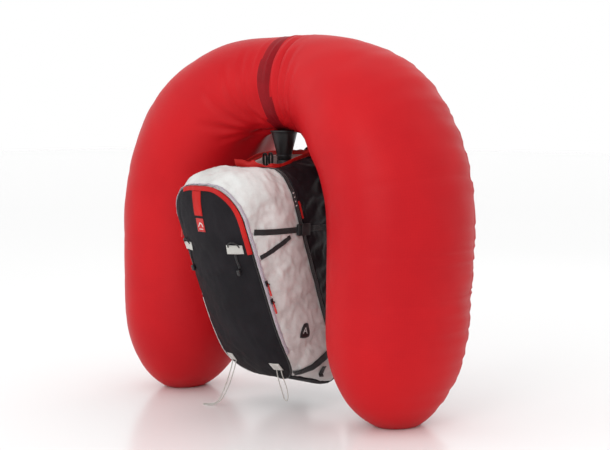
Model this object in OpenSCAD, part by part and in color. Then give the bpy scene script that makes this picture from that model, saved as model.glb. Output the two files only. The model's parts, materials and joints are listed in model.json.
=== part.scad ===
// Avalanche airbag backpack with its arch-shaped airbag inflated.
// X is the wearer's right, Y runs from the front panel to the wearer's back, and Z is up.

/* [Airbag] */
// Height of the inflated arch above the floor
arch_h = 920; // [880:5:980]
// Gap for an arm between the pack and a lobe
arm_gap = 61; // [52:1:90]
// Height at which the lobes stand furthest apart
lobe_z = 434; // [400:1:470]
// Half of the tube's width at the top of the arch, in the arch's plane
crown_a = 115; // [105:1:120]
// Half of the tube's depth at the top of the arch
crown_b = 110; // [95:1:120]
// Half of a lobe's width, in the arch's plane
lobe_a = 162; // [150:1:168]
// Half of a lobe's depth
lobe_b = 190; // [170:1:200]
// Thickness of the airbag's coated cloth, with its seams
cloth_t = 1.2; // [1:0.1:2]

/* [Pack] */
// Half of the front panel's width
front_w = 110; // [100:1:118]
// Half of the pack's width at the divider
pack_w = 133; // [124:1:140]
// Height of the front panel's top edge
front_top = 558; // [520:1:570]
// How far the front panel reaches in front of the arch's plane
front_reach = 285; // [265:1:300]
// How far the front panel's middle bulges
front_crown = 36; // [24:1:40]
// Height of the main compartment's roof at the divider
roof_z = 596; // [585:1:602]
// Height of the airbag bay's back edge
bay_top = 626; // [610:1:628]
// Thickness of the pack's padded cloth panels
panel_t = 2.5; // [2:0.1:4]
// Distance from the arch's plane to the outside of the back panel
back_y = 45; // [40:1:55]

/* [Inflation system] */
// Diameter of the gas cartridge
cartridge_d = 50; // [44:1:52]
// Length of the cartridge's straight wall
cartridge_l = 120; // [100:1:130]
// Wall of the cartridge
cartridge_wall = 2.5; // [2:0.1:4]
// Diameter of the striker pin
pin_d = 5; // [4:0.5:6]
// Diameter of the pressure hose
hose_d = 8; // [6:0.5:9]
// Diameter of the trigger cable's sheath
sheath_d = 5; // [4:0.5:6]
// Travel of the trigger handle
trigger_pull = 45; // [30:1:50]

/* [Harness] */
// Width of a shoulder strap
strap_w = 60; // [50:1:68]
// Thickness of a shoulder strap
strap_t = 11; // [8:1:13]
// Width of the webbing
webbing_w = 20; // [15:1:22]
// Thickness of the webbing
webbing_t = 1.8; // [1.4:0.1:2.4]
// Height of a hip wing
wing_h = 80; // [60:1:90]
// Length of a hip wing
wing_l = 130; // [100:1:140]
// Thickness of a hip wing
wing_t = 13; // [10:1:15]

/* [Cords and zips] */
// Diameter of the axe loops' cord
cord_d = 2.6; // [2:0.1:3]
// Width of the zip's coil
coil_w = 5; // [4:0.5:6]
// Height of the zip's coil
coil_h = 2.4; // [2:0.1:3]
// Running clearance between moving pieces
slip = 0.4; // [0.3:0.05:0.6]

/* [Hidden] */
$fn = 48;

// Gap between neighbouring panels, which the seams bridge
seam_gap = 1.4;
// How far the lobes lean forward for each millimetre below the arch's top
lobe_lean = 0.044;
// How far a lobe's centre line turns in below lobe_z
lobe_turn_in = 8;
// Share by which the arch stands out at its shoulders, beyond an ellipse
arch_swell = 0.04;
// How far a lobe's rounded end sits outside its centre line
end_shift = 21;
// Length of a lobe's rounded end, along the centre line
end_l = 231;
// Share of the width that a lobe loses towards its end
end_taper = 0.09;
// How much of a lobe's end the floor presses flat
floor_flat = 12;
// Arc, in degrees from the top, over which the tube grows to its full size
growth_arc = 51;
// Rings along a lobe's upper part and its rounded end, and points round each ring
arc_rings = 20;
end_rings = 10;
tube_sides = 28;
centre_gap = 0.5;

// ---------- curves and lists ----------
function mix(a, b, t) = a + (b - a) * t;
function clamp01(t) = min(max(t, 0), 1);
function ease(t) = let (c = clamp01(t)) c * c * (3 - 2 * c);
function unit(v) = v / norm(v);
function total(list) = list * [for (x = list) 1];

// A point on a smooth curve through a list of points, with t from 0 to 1
function spline_point(pts, t) =
    let (
        n = len(pts) - 1,
        s = min(t * n, n - 0.000001),
        i = floor(s),
        f = s - i,
        p0 = pts[max(i - 1, 0)],
        p1 = pts[i],
        p2 = pts[i + 1],
        p3 = pts[min(i + 2, n)]
    )
    (2 * p1 + (p2 - p0) * f + (2 * p0 - 5 * p1 + 4 * p2 - p3) * f * f
        + (3 * p1 - 3 * p2 + p3 - p0) * f * f * f) / 2;
function spline(pts, steps) = [for (i = [0:steps]) spline_point(pts, i / steps)];
function tangent(path, i) = unit(path[min(i + 1, len(path) - 1)] - path[max(i - 1, 0)]);

// ---------- closed meshes ----------
module closed_mesh(pts, tris) {
    v = total([for (t = tris) cross(pts[t[0]], pts[t[1]]) * pts[t[2]]]);
    polyhedron(pts, v > 0 ? [for (t = tris) [t[0], t[2], t[1]]] : tris, convexity = 8);
}

// A sheet with thickness, between two grids of points of the same size
module slab(outer, inner) {
    rows = len(outer);
    cols = len(outer[0]);
    n = rows * cols;
    last_r = rows - 1;
    last_c = cols - 1;
    function o(i, j) = i * cols + j;
    function q(i, j) = n + i * cols + j;
    faces = concat(
        [for (i = [0:rows - 2], j = [0:cols - 2]) each [
            [o(i, j), o(i, j + 1), o(i + 1, j + 1)], [o(i, j), o(i + 1, j + 1), o(i + 1, j)],
            [q(i, j), q(i + 1, j + 1), q(i, j + 1)], [q(i, j), q(i + 1, j), q(i + 1, j + 1)]]],
        [for (i = [0:rows - 2]) each [
            [o(i, 0), o(i + 1, 0), q(i + 1, 0)], [o(i, 0), q(i + 1, 0), q(i, 0)],
            [o(i + 1, last_c), o(i, last_c), q(i, last_c)],
            [o(i + 1, last_c), q(i, last_c), q(i + 1, last_c)]]],
        [for (j = [0:cols - 2]) each [
            [o(0, j + 1), o(0, j), q(0, j)], [o(0, j + 1), q(0, j), q(0, j + 1)],
            [o(last_r, j), o(last_r, j + 1), q(last_r, j + 1)],
            [o(last_r, j), q(last_r, j + 1), q(last_r, j)]]]
    );
    closed_mesh(concat([for (r = outer) each r], [for (r = inner) each r]), faces);
}

// A solid through a list of rings, closed by flat ends or joined into a loop
module skin(rings, looped = false) {
    n = len(rings);
    m = len(rings[0]);
    function id(i, j) = (i % n) * m + j % m;
    faces = concat(
        [for (i = [0:n - (looped ? 1 : 2)], j = [0:m - 1]) each [
            [id(i, j), id(i, j + 1), id(i + 1, j + 1)],
            [id(i, j), id(i + 1, j + 1), id(i + 1, j)]]],
        looped ? [] : [for (k = [1:m - 2]) each [
            [id(0, 0), id(0, k + 1), id(0, k)], [id(n - 1, 0), id(n - 1, k), id(n - 1, k + 1)]]]
    );
    closed_mesh([for (r = rings) each r], faces);
}

// A round tube along a path
module tube(path, d, sides = 8, side_hint = [0, 0, 1]) {
    skin([for (i = [0:len(path) - 1])
        let (t = tangent(path, i), s = unit(cross(t, side_hint)), u = cross(s, t))
        [for (k = [0:sides - 1]) path[i] + (s * cos(360 * k / sides) + u * sin(360 * k / sides)) * d / 2]]);
}

// A flat band along a path, lying on a surface with the given normals
module band(path, normals, w, t, lift = 0) {
    skin([for (i = [0:len(path) - 1])
        let (
            n = normals[i],
            b = unit(cross(tangent(path, i), n)) * w / 2,
            low = path[i] + n * lift,
            high = low + n * t
        )
        [low - b, low + b, high + b, high - b]]);
}

// A block with rounded upright edges, centred on X and Y, standing on Z = 0
module rounded_block(x, y, z, r) {
    linear_extrude(z)
        union() {
            square([x - 2 * r, y], center = true);
            square([x, y - 2 * r], center = true);
            for (sx = [-1, 1], sy = [-1, 1])
                translate([sx * (x / 2 - r), sy * (y / 2 - r)])
                    circle(r);
        }
}

// ---------- airbag ----------
crown_z = arch_h - crown_a;
// Distance from the middle plane to a lobe's centre line
lobe_x = pack_w + arm_gap + lobe_a;

// The right lobe's centre line in the arch's plane: s = 0 at the top, 1 at lobe_z, 2 at the floor
function shoulder(s) = 1 + arch_swell * pow(sin(180 * s), 2);
function centre_xz(s) = s <= 1
    ? [lobe_x * sin(90 * s) * shoulder(s), lobe_z + (crown_z - lobe_z) * cos(90 * s) * shoulder(s)]
    : let (u = s - 1) [lobe_x - lobe_turn_in * u * u, lobe_z - (lobe_z + floor_flat) * u];
function growth(s) = ease(90 * s / growth_arc);
end_from = 2 - end_l / lobe_z;
function end_share(s, inset) = clamp01((s - end_from) * lobe_z / (end_l - inset));
// The share at which the end meets the floor
function floor_share(inset) =
    (1 + (lobe_z - inset) / (lobe_z + floor_flat) - end_from) * lobe_z / (end_l - inset);
function end_round(s, inset) = sqrt(max(1 - pow(end_share(s, inset), 2), 0.0004));
function airbag_ring(s, inset, x_start) =
    let (
        c = centre_xz(s),
        t = unit(centre_xz(s + 0.01) - centre_xz(s - 0.01)),
        n = [-t[1], t[0]],
        k = end_round(s, inset),
        u = max(s - 1, 0),
        a = (mix(crown_a, lobe_a, growth(s)) - inset) * k * (1 - end_taper * pow(u, 1.5)),
        b = (mix(crown_b, lobe_b, growth(s)) - inset) * k * (1 - 0.7 * end_taper * pow(u, 1.5)),
        x = c[0] + end_shift * (1 - k),
        y = -lobe_lean * (crown_z - c[1]),
        // The rings turn level towards the floor
        rise = n[1] * a * (1 - ease(end_share(s, inset) / floor_share(inset)))
    )
    [for (j = [0:tube_sides - 1])
        let (w = 360 * j / tube_sides)
        [max(x + n[0] * a * cos(w), x_start), y + b * sin(w), max(c[1] + rise * cos(w), inset)]];
function lobe_rings(inset) = concat(
    [for (i = [0:arc_rings - 1]) airbag_ring(end_from * i / arc_rings, inset, centre_gap)],
    [for (i = [0:end_rings])
        let (share = sin(asin(floor_share(inset)) * i / end_rings))
        airbag_ring(end_from + share * (end_l - inset) / lobe_z, inset, centre_gap)]);

module airbag_right() {
    outer = lobe_rings(0);
    inner = lobe_rings(cloth_t);
    color("crimson") translate([0, y_shift, 0])
        skin(concat([for (i = [len(outer) - 1:-1:0]) outer[i]], inner));
}

module airbag_left() {
    color("crimson") mirror([1, 0, 0]) airbag_right();
}

// The band lies over the seam between the two lobes
band_share = 0.05;
band_t = 1;
band_lift = 1.2;
module airbag_centre_band() {
    function band_ring(side, out) =
        [for (p = airbag_ring(side == 0 ? 0 : band_share, -out, -1000))
            [side < 0 ? -p[0] : p[0], p[1], p[2]]];
    low = band_lift;
    high = band_lift + band_t;
    color("firebrick") translate([0, y_shift, 0])
        skin([band_ring(-1, low), band_ring(0, low + 0.5), band_ring(1, low),
            band_ring(1, high), band_ring(0, high + 0.5), band_ring(-1, high)], looped = true);
}

// ---------- pack surfaces ----------
// The front edge's distance from the arch's plane at a height
toe_z = 50;
full_reach_z = 520;
straight_from_z = 255;
function toe_curve(z) = pow(max(z - toe_z, 1) / (full_reach_z - toe_z), 0.42);
edge_slope = 0.42 * toe_curve(straight_from_z) / (straight_from_z - toe_z);
function front_y(z) = -front_reach * (z < straight_from_z ? toe_curve(z)
    : toe_curve(straight_from_z) + edge_slope * (z - straight_from_z));
// The divider between the main compartment and the airbag bay
divider_foot_y = 20;
divider_foot_z = 100;
divider_slope = 0.372;
divider_top_y = -150;
function divider_y(z) =
    max(divider_top_y, min(divider_foot_y - divider_slope * (z - divider_foot_z), divider_foot_y));

front_foot = 75;
base_z = 50;
front_corner_r = 85;
front_foot_r = 72;
// [half width, bottom, top, lower corner radius, upper corner radius] of the main compartment at a depth
function main_section(t) = [
    front_w + (pack_w - front_w) * sin(90 * clamp01(1.3 * t)),
    front_foot - (front_foot - base_z) * sin(90 * clamp01(t)),
    front_top + (roof_z - front_top) * sin(90 * clamp01(1.6 * t)),
    mix(front_foot_r, 64, t),
    mix(front_corner_r, pack_w - roof_flat, t)];
bay_back_w = 126;
// The top's flat half widths, at the divider and at the back
roof_flat = 67;
bay_flat = 75;
// The same for the airbag bay, from the divider to the back panel
function bay_section(t) = [
    mix(pack_w, bay_back_w, t * t), mix(base_z, base_z + 6, t),
    mix(roof_z + 2, bay_top, ease(t * 1.3)), mix(64, 60, t), pack_w - mix(roof_flat, bay_flat, t)];

// Half width of a section at a height
function half_width(q, z) =
    z > q[2] - q[4] ? q[0] - q[4] + sqrt(max(pow(q[4], 2) - pow(z - q[2] + q[4], 2), 0))
    : z < q[1] + q[3] ? q[0] - q[3] + sqrt(max(pow(q[3], 2) - pow(q[1] + q[3] - z, 2), 0))
    : q[0];
function inset_section(q, d) = [q[0] - d, q[1] + d, q[2] - d, q[3] - d, q[4] - d];

// Points on the right half of a section, from the middle of the base to the middle of the top
base_n = 4;
foot_n = 5;
side_n = 9;
corner_n = 6;
top_n = 4;
half_n = base_n + foot_n + side_n + corner_n + top_n;
side_from = base_n + 2;
side_to = base_n + foot_n + side_n + corner_n;
function section_point(q, i) =
    i <= base_n ? [(q[0] - q[3]) * i / base_n, q[1]]
    : i <= base_n + foot_n ? let (w = 90 * (i - base_n) / foot_n)
        [q[0] - q[3] + q[3] * sin(w), q[1] + q[3] - q[3] * cos(w)]
    : i <= base_n + foot_n + side_n ? [q[0], mix(q[1] + q[3], q[2] - q[4], (i - base_n - foot_n) / side_n)]
    : i <= side_to ? let (w = 90 * (i - base_n - foot_n - side_n) / corner_n)
        [q[0] - q[4] + q[4] * cos(w), q[2] - q[4] + q[4] * sin(w)]
    : [(q[0] - q[4]) * (half_n - i) / top_n, q[2]];

// Depth of a main compartment or bay point: t runs from one wall to the other, clear of both seams
function main_y(t, z) =
    mix(front_y(z) + panel_t + seam_gap, divider_y(z) - seam_gap, t);
function bay_y(t, z) =
    mix(divider_y(z) + panel_t + seam_gap, back_y - panel_t - seam_gap, t);
function main_point(t, i, d) =
    let (p = section_point(inset_section(main_section(t), d), i), o = section_point(main_section(t), i))
    [p[0], main_y(t, o[1]), p[1]];
function bay_point(t, i, d) =
    let (p = section_point(inset_section(bay_section(t), d), i), o = section_point(bay_section(t), i))
    [p[0], bay_y(t, o[1]), p[1]];

depth_n = 8;
// A grid over part of the main compartment's or the bay's wall
function main_grid(from, to, d) =
    [for (k = [0:depth_n]) [for (i = [from:to]) main_point(k / depth_n, i, d)]];
function bay_grid(from, to, d) =
    [for (k = [0:depth_n]) [for (i = [from:to]) bay_point(k / depth_n, i, d)]];
// A grid that carries on across the middle plane
function across(rows) = [for (r = rows)
    concat(r, [for (i = [len(r) - 2:-1:0]) [-r[i][0], r[i][1], r[i][2]]])];
function across_low(rows) = [for (r = rows)
    concat([for (i = [len(r) - 1:-1:1]) [-r[i][0], r[i][1], r[i][2]]], r)];

// The front panel's surface
function front_bulge(a, v) = front_crown * pow(max(1 - a * a, 0), 0.8) * sqrt(max(sin(180 * v), 0));
function on_front(x, z) =
    let (
        q = main_section(0),
        v = (z - q[1]) / (q[2] - q[1]),
        a = clamp01(abs(x) / half_width(q, z))
    )
    [x, front_y(z) - front_bulge(a, v), z];
function front_normal(x, z) =
    unit(cross(on_front(x + 1, z) - on_front(x - 1, z), on_front(x, z + 1) - on_front(x, z - 1)));
// The side wall's surface, at a depth and a height
function main_share(y, z) = clamp01((y - front_y(z)) / (divider_y(z) - front_y(z)));
function bay_share(y, z) = clamp01((y - divider_y(z)) / (back_y - divider_y(z)));
function side_x(y, z) = y < divider_y(z)
    ? half_width(main_section(main_share(y, z)), z)
    : half_width(bay_section(bay_share(y, z)), z);
function on_side(y, z) = [side_x(y, z), y, z];
function side_normal(y, z) =
    unit(cross(on_side(y + 3, z) - on_side(y - 3, z), on_side(y, z + 3) - on_side(y, z - 3)));

// Steps up and across the front panel
front_rows = 22;
front_cols = 16;

// Everything is drawn about the arch's plane, then moved so that the origin is below the object's middle
crest_t = 2;
rear_most = back_y + 14 + wing_l + 15.8 + 14;
patch_lift = 0.6;
front_most = min([for (z = [490:2:548])
    (on_front(0, z) + front_normal(0, z) * (patch_lift + crest_t))[1]]);
y_shift = -(front_most + rear_most) / 2;

// ---------- pack panels ----------
module front_panel() {
    q = main_section(0);
    function grid(d, back) =
        [for (i = [0:front_rows])
            let (
                z = mix(q[1] + d, q[2] - d, (1 - cos(180 * i / front_rows)) / 2),
                w = half_width(inset_section(q, d), z)
            )
            [for (j = [0:front_cols])
                let (a = mix(-1, 1, j / front_cols))
                [a * w, front_y(z) - front_bulge(abs(a), (z - q[1]) / (q[2] - q[1])) + back, z]]];
    color("dimgray") translate([0, y_shift, 0])
        slab(grid(0, 0), grid(0.5, panel_t));
}

module side_panel_right() {
    color("lightgray") translate([0, y_shift, 0])
        slab(main_grid(side_from, side_to, 0), main_grid(side_from, side_to, panel_t));
}

module side_panel_left() {
    mirror([1, 0, 0]) side_panel_right();
}

module top_panel() {
    cut = 2;
    function trimmed(d) = [for (r = across(main_grid(side_to, half_n, d)))
        concat([r[0] - [cut, 0, 0]], [for (i = [1:len(r) - 2]) r[i]], [r[len(r) - 1] + [cut, 0, 0]])];
    color("lightgray") translate([0, y_shift, 0])
        slab(trimmed(0), trimmed(panel_t));
}

module base_panel() {
    // Its edges stop short of the side panels, along the wall
    function trimmed(d) = [for (r = across_low(main_grid(0, side_from, d)))
        let (n = len(r) - 1)
        concat([mix(r[0], r[1], 0.06)], [for (i = [1:n - 1]) r[i]], [mix(r[n], r[n - 1], 0.06)])];
    color("dimgray") translate([0, y_shift, 0])
        slab(trimmed(0), trimmed(panel_t));
}

divider_rows = 20;
module wall_sheet(q, y_at, thickness, d) {
    function grid(back) =
        [for (i = [0:divider_rows])
            let (
                z = mix(q[1] + d, q[2] - d, (1 - cos(180 * i / divider_rows)) / 2),
                w = half_width(inset_section(q, d), z)
            )
            [for (a = [-1, -0.5, 0, 0.5, 1]) [a * w, y_at(z) + back, z]]];
    slab(grid(0), grid(thickness));
}

module divider_panel() {
    color("dimgray") translate([0, y_shift, 0])
        wall_sheet(main_section(1), function (z) divider_y(z), panel_t, 0);
}

module back_panel() {
    color("dimgray") translate([0, y_shift, 0])
        difference() {
            wall_sheet(bay_section(1), function (z) back_y - panel_t, panel_t, 0);
            translate([cable_hole[0], back_y + 5, cable_hole[1]]) rotate([90, 0, 0])
                cylinder(r = sheath_d / 2 + 1, h = panel_t + 10);
        }
}

module bay_sides() {
    // Each side stops half a seam's gap short of the middle plane
    function trimmed(d) = [for (r = bay_grid(0, side_to, d))
        concat([r[0] + [seam_gap / 2, 0, 0]], [for (i = [1:len(r) - 1]) r[i]])];
    color("dimgray") translate([0, y_shift, 0]) for (m = [0, 1]) mirror([m, 0, 0])
        slab(trimmed(0), trimmed(panel_t));
}

mouth_d = 4;
module bay_mouth_piping() {
    q0 = bay_section(0);
    q1 = bay_section(1);
    lift = mouth_d / 2 + 0.6;
    function lip(q, y) = [for (x = [-1, -0.5, 0, 0.5, 1]) [x * (q[0] - q[4] - 3), y, q[2] + lift]];
    side = [for (k = [1:6]) let (q = bay_section(k / 7)) [q[0] - q[4] - 3, bay_y(k / 7, q[2]), q[2] + lift]];
    path = concat(lip(q0, bay_y(0, q0[2])), side, [for (i = [4:-1:0]) lip(q1, back_y - 3)[i]],
        [for (i = [5:-1:0]) [-side[i][0], side[i][1], side[i][2]]]);
    n = len(path);
    color("red") translate([0, y_shift, 0])
        skin([for (i = [0:n - 1])
            let (
                t = unit(path[(i + 1) % n] - path[(i + n - 1) % n]),
                s = unit(cross(t, [0, 0, 1])),
                u = cross(s, t)
            )
            [for (k = [0:7]) path[i] + (s * cos(45 * k) + u * sin(45 * k)) * mouth_d / 2]], looped = true);
}

// ---------- front panel's fittings ----------
welt_d = 3.2;
tape_from = base_n + foot_n + 1;
tape_t = 0.9;
tape_shares = [0.006, 0.034, 0.062];
coil_share = 0.034;
function tape_grid(out) = across([for (t = tape_shares)
    [for (i = [tape_from:half_n]) main_point(t, i, -out)]]);

module main_zip_tape() {
    color("lavender") translate([0, y_shift, 0])
        slab(tape_grid(0.4 + tape_t), tape_grid(0.4));
}

module main_zip_coil() {
    low = 0.7 + tape_t;
    function grid(a, b, c) = across([for (k = [0:2]) [for (i = [tape_from:half_n])
        main_point(coil_share + (k - 1) * coil_w / 380, i, -[a, b, c][k])]]);
    color("plum") translate([0, y_shift, 0])
        slab(grid(low + coil_h / 2, low + coil_h, low + coil_h / 2), grid(low, low, low));
}

module front_zip_welt() {
    from = side_to - corner_n;
    q = inset_section(main_section(0), -welt_d / 2 - 0.5);
    half = [for (i = [from:half_n]) let (p = section_point(q, i), o = section_point(main_section(0), i))
        [p[0], front_y(o[1]) + welt_d / 2, p[1]]];
    path = concat(half, [for (i = [len(half) - 2:-1:0]) [-half[i][0], half[i][1], half[i][2]]]);
    color("red") translate([0, y_shift, 0])
        tube(path, welt_d, 8, [0, 1, 0]);
}

// A patch that lies on the front panel, between two heights and two distances from the middle
module front_patch(x0, x1, z0, z1, lift, t, n = 4) {
    function grid(out) = [for (i = [0:n]) [for (j = [0:n])
        let (x = mix(x0, x1, j / n), z = mix(z0, z1, i / n)) on_front(x, z) + front_normal(x, z) * out]];
    slab(grid(lift + t), grid(lift));
}

module crest_strap() {
    color("red") translate([0, y_shift, 0]) {
        front_patch(-18, 10, 490, 548, patch_lift, crest_t, 6);
        front_patch(-16, 9, 452, 484, patch_lift, crest_t);
    }
}

keeper_z = 400;
keeper_h = 22;
module axe_keeper(x) {
    color("silver") translate([0, y_shift, 0]) {
        front_patch(x - 20, x + 20, keeper_z, keeper_z + keeper_h, patch_lift, 2);
        front_patch(x - 3, x + 3, keeper_z - 34, keeper_z - 1.5, patch_lift, 2.5);
        translate(on_front(x, keeper_z - 44) + [0, -6.5, 0])
            rotate([22, 0, 0])
                cylinder(d = 9, h = 15, center = true);
    }
}
module axe_keepers() {
    for (x = [-86, 74]) axe_keeper(x);
}

// Webbing tabs that hold the axe loops
tab_z_right = 108;
tab_z_left = 118;
module loop_tabs() {
    color("silver") translate([0, y_shift, 0]) {
        front_patch(56, 82, tab_z_right, tab_z_right + 18, patch_lift, 1.8);
        front_patch(-86, -60, tab_z_left, tab_z_left + 18, patch_lift, 1.8);
    }
}
// Round points of the axe loops' cords
loop_right_points = [
    [62, -129.5, 106], [61.5, -128, 101], [60.5, -125, 92], [59.5, -121, 82], [59.5, -117.5, 72],
    [60, -114, 62], [61.5, -111, 52], [63, -108.5, 42], [65, -107, 34], [68, -106, 28],
    [72, -105.5, 26], [76, -106, 28],
    [78.5, -107, 34], [80, -108.5, 42], [80.5, -111, 52], [80.5, -114, 62], [79.5, -117.5, 72],
    [78, -121, 82], [76.5, -124.5, 92], [75.5, -127, 101], [75, -128, 106]
];
loop_left_points = [
    [-66, -140, 116], [-66.5, -141.5, 110], [-68, -143.5, 98], [-70.5, -146.5, 84], [-74, -150, 68],
    [-78.5, -154, 52], [-84, -159, 36], [-90, -164.5, 21], [-97.5, -171, 9.5], [-106, -177.5, 3.4],
    [-115, -183, 1.7], [-124, -187.5, 1.6], [-132, -189, 1.6], [-138, -186, 1.6], [-139, -180, 1.6],
    [-134, -175.5, 1.6], [-126, -172.5, 1.7], [-117, -169, 3.2], [-108.5, -165, 9], [-101.5, -160.5, 21],
    [-96, -156, 36], [-91.5, -152, 52], [-87.5, -148, 68], [-84, -144.5, 84], [-81.5, -141.5, 98],
    [-80.3, -139, 110], [-80, -138.2, 116]
];
module axe_loop_right() {
    color("gray") translate([0, y_shift, 0]) tube(loop_right_points, cord_d, 8, [0.2, 1, 0.1]);
}
module axe_loop_left() {
    color("gray") translate([0, y_shift, 0]) tube(loop_left_points, cord_d, 8, [0.7, -0.7, 0.2]);
}

// ---------- sides' fittings ----------
// A patch that lies on the side wall between four corners, given as [y, z]
module side_patch(a, b, c, d, lift, t, n = 6, m = 2) {
    function grid(out) = [for (i = [0:m]) [for (j = [0:n])
        let (p = mix(mix(a, b, j / n), mix(d, c, j / n), i / m))
        on_side(p[0], p[1]) + side_normal(p[0], p[1]) * out]];
    slab(grid(lift + t), grid(lift));
}

module side_badge() {
    color("black") translate([0, y_shift, 0])
        side_patch([-118, 190], [-88, 190], [-92, 222], [-112, 222], 0.6, 1.5, 3, 3);
}

buckle_w = webbing_w + 8;
buckle_t = 8;
buckle_l = 26;
prong_l = 14;
strap_lift = 0.6;
buckle_z = 452;
buckle_y = -124;
buckle_x = pack_w + strap_lift + webbing_t + 0.8;

// The socket takes the plug from -Y; both lie from X = 0 to buckle_t, about Z = 0
module buckle_socket() {
    wall = 1.6;
    difference() {
        translate([0, 0, -buckle_w / 2]) cube([buckle_t, buckle_l, buckle_w]);
        translate([wall, -1, 2 - buckle_w / 2]) cube([buckle_t - 2 * wall, buckle_l - 7, buckle_w - 4]);
        translate([wall, 8, -buckle_w / 2 - 1]) cube([buckle_t - 2 * wall, 8, buckle_w + 2]);
        translate([-1, buckle_l - 5, -webbing_w / 2]) cube([buckle_t + 2, 3, webbing_w]);
    }
}
module buckle_plug() {
    wall = 1.6 + slip;
    arm = 4;
    difference() {
        translate([0, -15, -buckle_w / 2]) cube([buckle_t, 15 - slip, buckle_w]);
        translate([-1, -12, -webbing_w / 2]) cube([buckle_t + 2, 2.5, webbing_w]);
        translate([-1, -7, -webbing_w / 2]) cube([buckle_t + 2, 2.5, webbing_w]);
    }
    for (z = [2 + slip - buckle_w / 2, -arm / 2, buckle_w / 2 - 2 - slip - arm])
        translate([wall, -1, z]) cube([buckle_t - 2 * wall, prong_l + 1, arm]);
}

module side_buckle_sockets() {
    color("darkslategray")
        for (m = [0, 1]) mirror([m, 0, 0])
            translate([buckle_x, buckle_y + y_shift, buckle_z]) buckle_socket();
}
module side_buckle_plug_right() {
    color("darkslategray") translate([buckle_x, buckle_y + y_shift, buckle_z]) buckle_plug();
}
module side_buckle_plug_left() { mirror([1, 0, 0]) side_buckle_plug_right(); }

// The two front ends meet at the plug, and one band runs back from the socket
module side_straps() {
    h = webbing_w / 2 - 3;
    front = -262;
    color("black") translate([0, y_shift, 0]) for (m = [0, 1]) mirror([m, 0, 0]) {
        side_patch([front, buckle_z - h], [buckle_y - 8, buckle_z - h], [buckle_y - 8, buckle_z + h],
            [front, buckle_z + h], strap_lift, webbing_t, 8);
        side_patch([front + 24, 384], [buckle_y - 34, 431], [buckle_y - 34, 443],
            [front + 21, 398], strap_lift, webbing_t, 8);
        side_patch([buckle_y + buckle_l - 4, buckle_z - h], [back_y - 16, buckle_z - h],
            [back_y - 16, buckle_z + h], [buckle_y + buckle_l - 4, buckle_z + h], strap_lift, webbing_t, 8);
    }
}

// The lower straps, with their free tails
module lower_straps() {
    color("black") translate([0, y_shift, 0]) for (m = [0, 1]) mirror([m, 0, 0]) {
        side_patch([-100, 88], [-16, 134], [-24, 152], [-106, 106], strap_lift, webbing_t, 8);
        side_patch([-44, 96], [-30, 96], [-32, 112], [-46, 110], strap_lift, webbing_t, 3);
    }
}

// ---------- zip sliders ----------
slider_z = 330;
lower_slider_z = 286;
pin_r = 1.2;
pin_play = 0.06;
edge_tilt = atan(edge_slope * front_reach);
bail_rise = 2.6;
slider_x = main_section(coil_share)[0] + 0.6;
slider_rise = coil_h + tape_t + 1.3;
slider_t = 1.6;
slider_l = 13;
slider_w = 9;
function coil_y(z) = main_y(coil_share, z);
// A slider runs over the coil, tilted to the edge's slope, with a bail that carries its puller
module at_slider(z) {
    translate([slider_x, coil_y(z) + y_shift, z]) rotate([edge_tilt, 0, 0])
        translate([slider_rise, 0, 0])
            children();
}
module zip_slider(z) {
    color("black") at_slider(z) {
        translate([0, -slider_w / 2, -slider_l / 2]) cube([slider_t, slider_w, slider_l]);
        for (y = [-slider_w / 2, slider_w / 2 - 1.2])
            translate([slider_t - 0.1, y, -slider_l / 2]) cube([4.6, 1.2, 4.5]);
        translate([slider_t + bail_rise, -slider_w / 2 + 0.1, 2.2 - slider_l / 2]) rotate([-90, 0, 0])
            cylinder(r = pin_r, h = slider_w - 0.2);
    }
}
// The puller hangs from the bail, at rest along the edge
module zip_puller(z) {
    w = slider_w - 2.4 - 2 * slip;
    color("red") at_slider(z) translate([slider_t + bail_rise, 0, 2.2 - slider_l / 2])
        difference() {
            union() {
                rotate([-90, 0, 0]) cylinder(r = 2.2, h = w, center = true);
                translate([-0.9, -w / 2, -26]) cube([1.8, w, 26]);
                translate([-1.6, -w / 2, -29]) cube([3.2, w, 16]);
            }
            rotate([-90, 0, 0]) cylinder(r = pin_r + pin_play, h = 20, center = true);
        }
}
module zip_slider_upper() { zip_slider(slider_z); }
module zip_slider_lower() { zip_slider(lower_slider_z); }
module zip_puller_upper() { zip_puller(slider_z); }
module zip_puller_lower() { zip_puller(lower_slider_z); }

// ---------- harness ----------
pad_t = 12;
pad_y = back_y + 0.5;
module upright_pad(x, z, w, h, t, r) {
    translate([x, pad_y + t + y_shift, z]) rotate([90, 0, 0]) rounded_block(w, h, t, r);
}
module back_pads() {
    color("dimgray") {
        for (x = [-52, 52]) upright_pad(x, 380, 56, 250, pad_t, 14);
        upright_pad(0, 150, 168, 120, pad_t, 20);
    }
}

sheet_t = 1.5;
stay_t = 3;
module frame_sheet() {
    color("ivory") translate([0, back_y - panel_t - 4 + y_shift, 320]) rotate([90, 0, 0])
        rounded_block(200, 460, sheet_t, 25);
}
stay_y = back_y - panel_t - 4 - sheet_t - 0.4;
module frame_stays() {
    color("silver")
        for (x = [-44, 44])
            translate([x, stay_y + y_shift, 315]) rotate([90, 0, 0])
                rounded_block(14, 410, stay_t, 3);
}

strap_path = spline([[52, back_y + 2.5 + strap_t / 2, 578], [53, 78, 592], [57, 104, 580],
    [62, 122, 545], [65, 130, 500], [66, 132, 460], [66, 132, 420], [67, 131, 380], [71, 126, 330], [78, 114, 275], [86, 98, 225]], 34);
function face_normals(path) = [for (i = [0:len(path) - 1]) unit(cross([1, 0, 0], tangent(path, i)))];
module shoulder_straps() {
    color("dimgray") translate([0, y_shift, 0]) for (m = [0, 1]) mirror([m, 0, 0])
        band(strap_path, face_normals(strap_path), strap_w, strap_t);
}

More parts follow.
